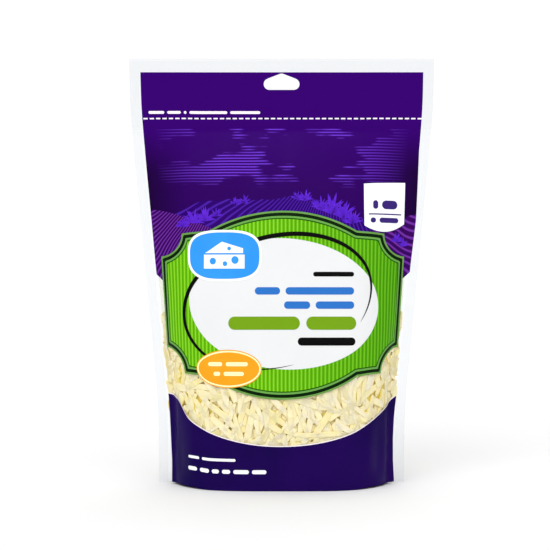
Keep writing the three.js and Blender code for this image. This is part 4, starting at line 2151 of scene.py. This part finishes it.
    def build(self) -> None:
        """Makes the strips of both sides as one piece."""
        places, faces, tones = [], [], []
        start = 0
        for side in Side:
            side_places, side_faces, tone = self.strips(side)
            places.append(side_places)
            faces += [f + start for f in side_faces]
            tones.append(tone)
            start += len(side_places)
        finishes = [self.finish.material()]
        piece = write_mesh("cheese_strips", np.concatenate(places), faces, finishes, smooth=False)
        add_tone(piece, np.concatenate(tones))
        settle(piece)


@dataclass
class CheeseHeap:
    """The rest of the filling: one closed heap under the strips, its face ribbed as packed strips are, and
    coloured a deeper yellow than the strips as painted shade in the gaps between them.
    """

    form: PouchForm
    strips: CheeseStrips
    half_span: float = 85.2
    # painted shade: the heap's warm tone, fading out towards the sides, where it shows through the film
    core_shade: float = 0.75
    shade_fade_start: float = 74.0
    shade_fade_end: float = 83.0
    foot: float = 4.0
    heaped: float = 40.0
    cover: float = 3.3
    rows: int = 90
    columns: int = 120
    span: float = 89.0
    below_strips: float = 10.0
    film_gap: float = 0.3
    least_share: float = 0.3
    rib_height: float = 0.8
    ribs_across: Triple = (1.9, 3.0, 9.0)
    ribs_up: Triple = (2.3, 2.0, 7.0)
    # painted shade: yellower creams than the strips', for the gaps between them
    finish: FreshCheese = FreshCheese("mozzarella_packed_moist", pale="#f6e9b4", warm="#e8cf30")

    def ribs(self, u: Array, v: Array) -> Array:
        """A checker of ribs: a cosine across times a cosine upwards, each bent by a sine of the other way.

        Args:
            u: flat places across.
            v: flat places upwards.

        Returns:
            How far out each place stands.
        """
        (length_u, bend_u, beat_u), (length_v, bend_v, beat_v) = self.ribs_across, self.ribs_up
        across = np.cos(u / length_u + bend_u * np.sin(v / beat_u))
        return self.rib_height * across * np.cos(v / length_v + bend_v * np.sin(u / beat_v))

    def build(self) -> None:
        """Carries the film's section inwards by the strips' depth, and closes the ring at foot and top."""
        u = np.linspace(-self.half_span, self.half_span, self.columns)
        share = np.linspace(0.0, 1.0, self.rows)[:, None]
        level = self.strips.side_level - self.below_strips + self.heaped * (1.0 - (u / self.span) ** 2)
        v = self.foot + (level - self.foot) * share
        rings = []
        for side in Side:
            place = self.form.surface(u[None], v, side, -self.film_gap)
            towards = 1.0 if side is Side.BACK else -1.0
            deep = np.abs(place[..., 1])
            covered = deep - self.cover + self.ribs(u, v)
            place[..., 1] = towards * np.maximum(covered, self.least_share * deep)
            rings.append(place)
        places = np.concatenate(rings, axis=1).reshape(-1, 3)
        wide = 2 * self.columns
        walls = grid_faces(self.rows, wide, closed=True)
        i = np.arange(self.columns - 1)
        behind = wide - 1 - i
        low = np.stack([i + 1, i, behind, behind - 1], axis=1)
        top = np.stack([i, i + 1, behind - 1, behind], axis=1) + (self.rows - 1) * wide
        heap = write_mesh("cheese_heap", places, [walls, low, top], [self.finish.material()])
        # painted shade: warm in the middle and pale at the sides
        tone = self.core_shade * (1.0 - smoothstep(np.abs(u), self.shade_fade_start, self.shade_fade_end))
        add_tone(heap, np.tile(tone, 2 * self.rows))
        settle(heap)


@dataclass
class ShoulderShadeHaze:
    """A milky cream haze on the film's inside at both ends, from the filling's top up to the print: painted
    shade over the film's shoulders.
    """

    form: PouchForm
    ground: Ground
    inner: float = 74.0
    outer: float = 87.4
    foot: float = 108.5
    under_print: float = 1.5
    lift: float = -0.06
    step: float = 0.8
    # painted shade: a cream-grey haze that darkens what is seen through the film's shoulders
    finish: ClearFilm = ClearFilm("clear_film_painted_shoulder_shade", haze=0.38, roughness=0.4,
                                  haze_colour="#e0dcae", mirror=0.0)

    def build(self) -> None:
        """Lays a thin coat of painted shade inside the front film, whose upper and inner edges end behind the
        print.
        """
        right = between(self.inner, self.outer, self.step)
        ends = []
        for u in (-right[::-1], right):
            top = self.ground.upper_edge(u) + self.under_print
            ends.append(Patch.strip(u, np.full_like(u, self.foot), top))
        patch = Patch.joined(ends)
        places = self.form.surface(*patch.flat.T, Side.FRONT, self.lift)
        finishes = [self.finish.material()]
        settle(write_mesh("film_shoulder_shade", places, patch.faces, finishes, patch.zones, patch.flat))


# ---- studio


@dataclass
class SoftLight:
    """Wide, even light from one side, as a large softbox a long way off gives it."""

    name: str
    towards: Triple
    spread_degrees: float
    strength: float

    def build(self) -> None:
        """Makes the light, shining from its side onto the pouch."""
        data = bpy.data.lights.new(self.name, "SUN")
        data.angle = math.radians(self.spread_degrees)
        data.energy = self.strength
        light = bpy.data.objects.new(self.name, data)
        bpy.context.scene.collection.objects.link(light)
        light.location = self.towards
        light.rotation_euler = Vector(self.towards).to_track_quat("Z", "Y").to_euler()


@dataclass
class Studio:
    """A flat white sheet of paper, soft light from above and in front, and the camera of the photograph."""

    elevation: float = 5.2
    distance: float = 1700.0
    aim_height: float = 134.5
    focal_pixels: float = 2689.5
    aim_pixel: Pair = (281.6, 272.97)
    sensor: float = 36.0
    view_end: float = 50.0
    floor_half: float = 6.0
    surround_seen: float = 1.02
    surround_felt: float = 0.42
    paper: StudioPaper = StudioPaper()
    lights: tuple[SoftLight, ...] = (
        SoftLight("key_left", (-1.0, -1.7, 1.5), 45.0, 0.92),
        SoftLight("fill_right", (1.3, -1.7, 1.0), 60.0, 0.5),
        SoftLight("top", (-0.2, -0.3, 2.0), 120.0, 1.9),
        SoftLight("back_soft", (0.6, 1.6, 1.2), 70.0, 0.6),
    )

    def build_camera(self) -> None:
        """Sets the camera where the photograph was taken from, with the small shift of its framing."""
        data = bpy.data.cameras.new("camera")
        data.sensor_width = self.sensor
        data.lens = self.focal_pixels / IMAGE_SIDE * self.sensor
        data.shift_x = (IMAGE_SIDE / 2.0 - self.aim_pixel[0]) / IMAGE_SIDE
        data.shift_y = (self.aim_pixel[1] - IMAGE_SIDE / 2.0) / IMAGE_SIDE
        data.clip_end = self.view_end
        camera = bpy.data.objects.new("camera", data)
        bpy.context.scene.collection.objects.link(camera)
        tilt = math.radians(self.elevation)
        back = Vector((0.0, -math.cos(tilt), math.sin(tilt)))
        target = Vector((0.0, 0.0, self.aim_height * MM))
        camera.location = target + back * self.distance * MM
        camera.rotation_euler = (-back).to_track_quat("-Z", "Y").to_euler()
        bpy.context.scene.camera = camera

    def build_floor(self) -> None:
        """Lays a wide, flat sheet of pale paper."""
        half = self.floor_half / MM
        corners = np.array([[-half, -half, 0.0], [half, -half, 0.0], [half, half, 0.0], [-half, half, 0.0]])
        floor = write_mesh("floor", corners, [np.array([[0, 1, 2, 3]])], [self.paper.material()])

    def build_light(self) -> None:
        """A key light from the upper left, a fill from the right, light from above, and a dim surround."""
        for light in self.lights:
            light.build()
        world = bpy.data.worlds.new("white_surround")
        world.use_nodes = True
        tree = world.node_tree
        tree.nodes.clear()
        path = add_node(tree, "LightPath")
        seen = add_node(tree, "Background", {"Color": (1.0, 1.0, 1.0, 1.0), "Strength": self.surround_seen})
        felt = add_node(tree, "Background", {"Color": (1.0, 1.0, 1.0, 1.0), "Strength": self.surround_felt})
        mix = add_node(tree, "MixShader", {0: path.outputs["Is Camera Ray"], 1: felt, 2: seen})
        add_node(tree, "OutputWorld", {"Surface": mix})
        bpy.context.scene.world = world

    def build(self) -> None:
        """Sets the camera, the floor, the light and a plain colour transform."""
        self.build_camera()
        self.build_floor()
        self.build_light()
        bpy.context.scene.view_settings.view_transform = "Standard"


def main() -> None:
    """Builds the pouch in order, film first, then print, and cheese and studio."""
    logging.basicConfig(level=logging.INFO, format="%(name)s %(message)s")
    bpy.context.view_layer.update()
    form = PouchForm.from_frame()
    film = FilmPouch(form)
    film.build()
    FrontPrint(PrintLayers(form, Side.FRONT, "front"), film.hole).build()
    BackPrint(PrintLayers(form, Side.BACK, "back"), film.hole).build()
    GussetPrint(film).build()
    strips = CheeseStrips(form, Ground(form), Plaque())
    strips.build()
    CheeseHeap(form, strips).build()
    ShoulderShadeHaze(form, strips.ground).build()
    Studio().build()


if __name__ == "__main__":
    main()
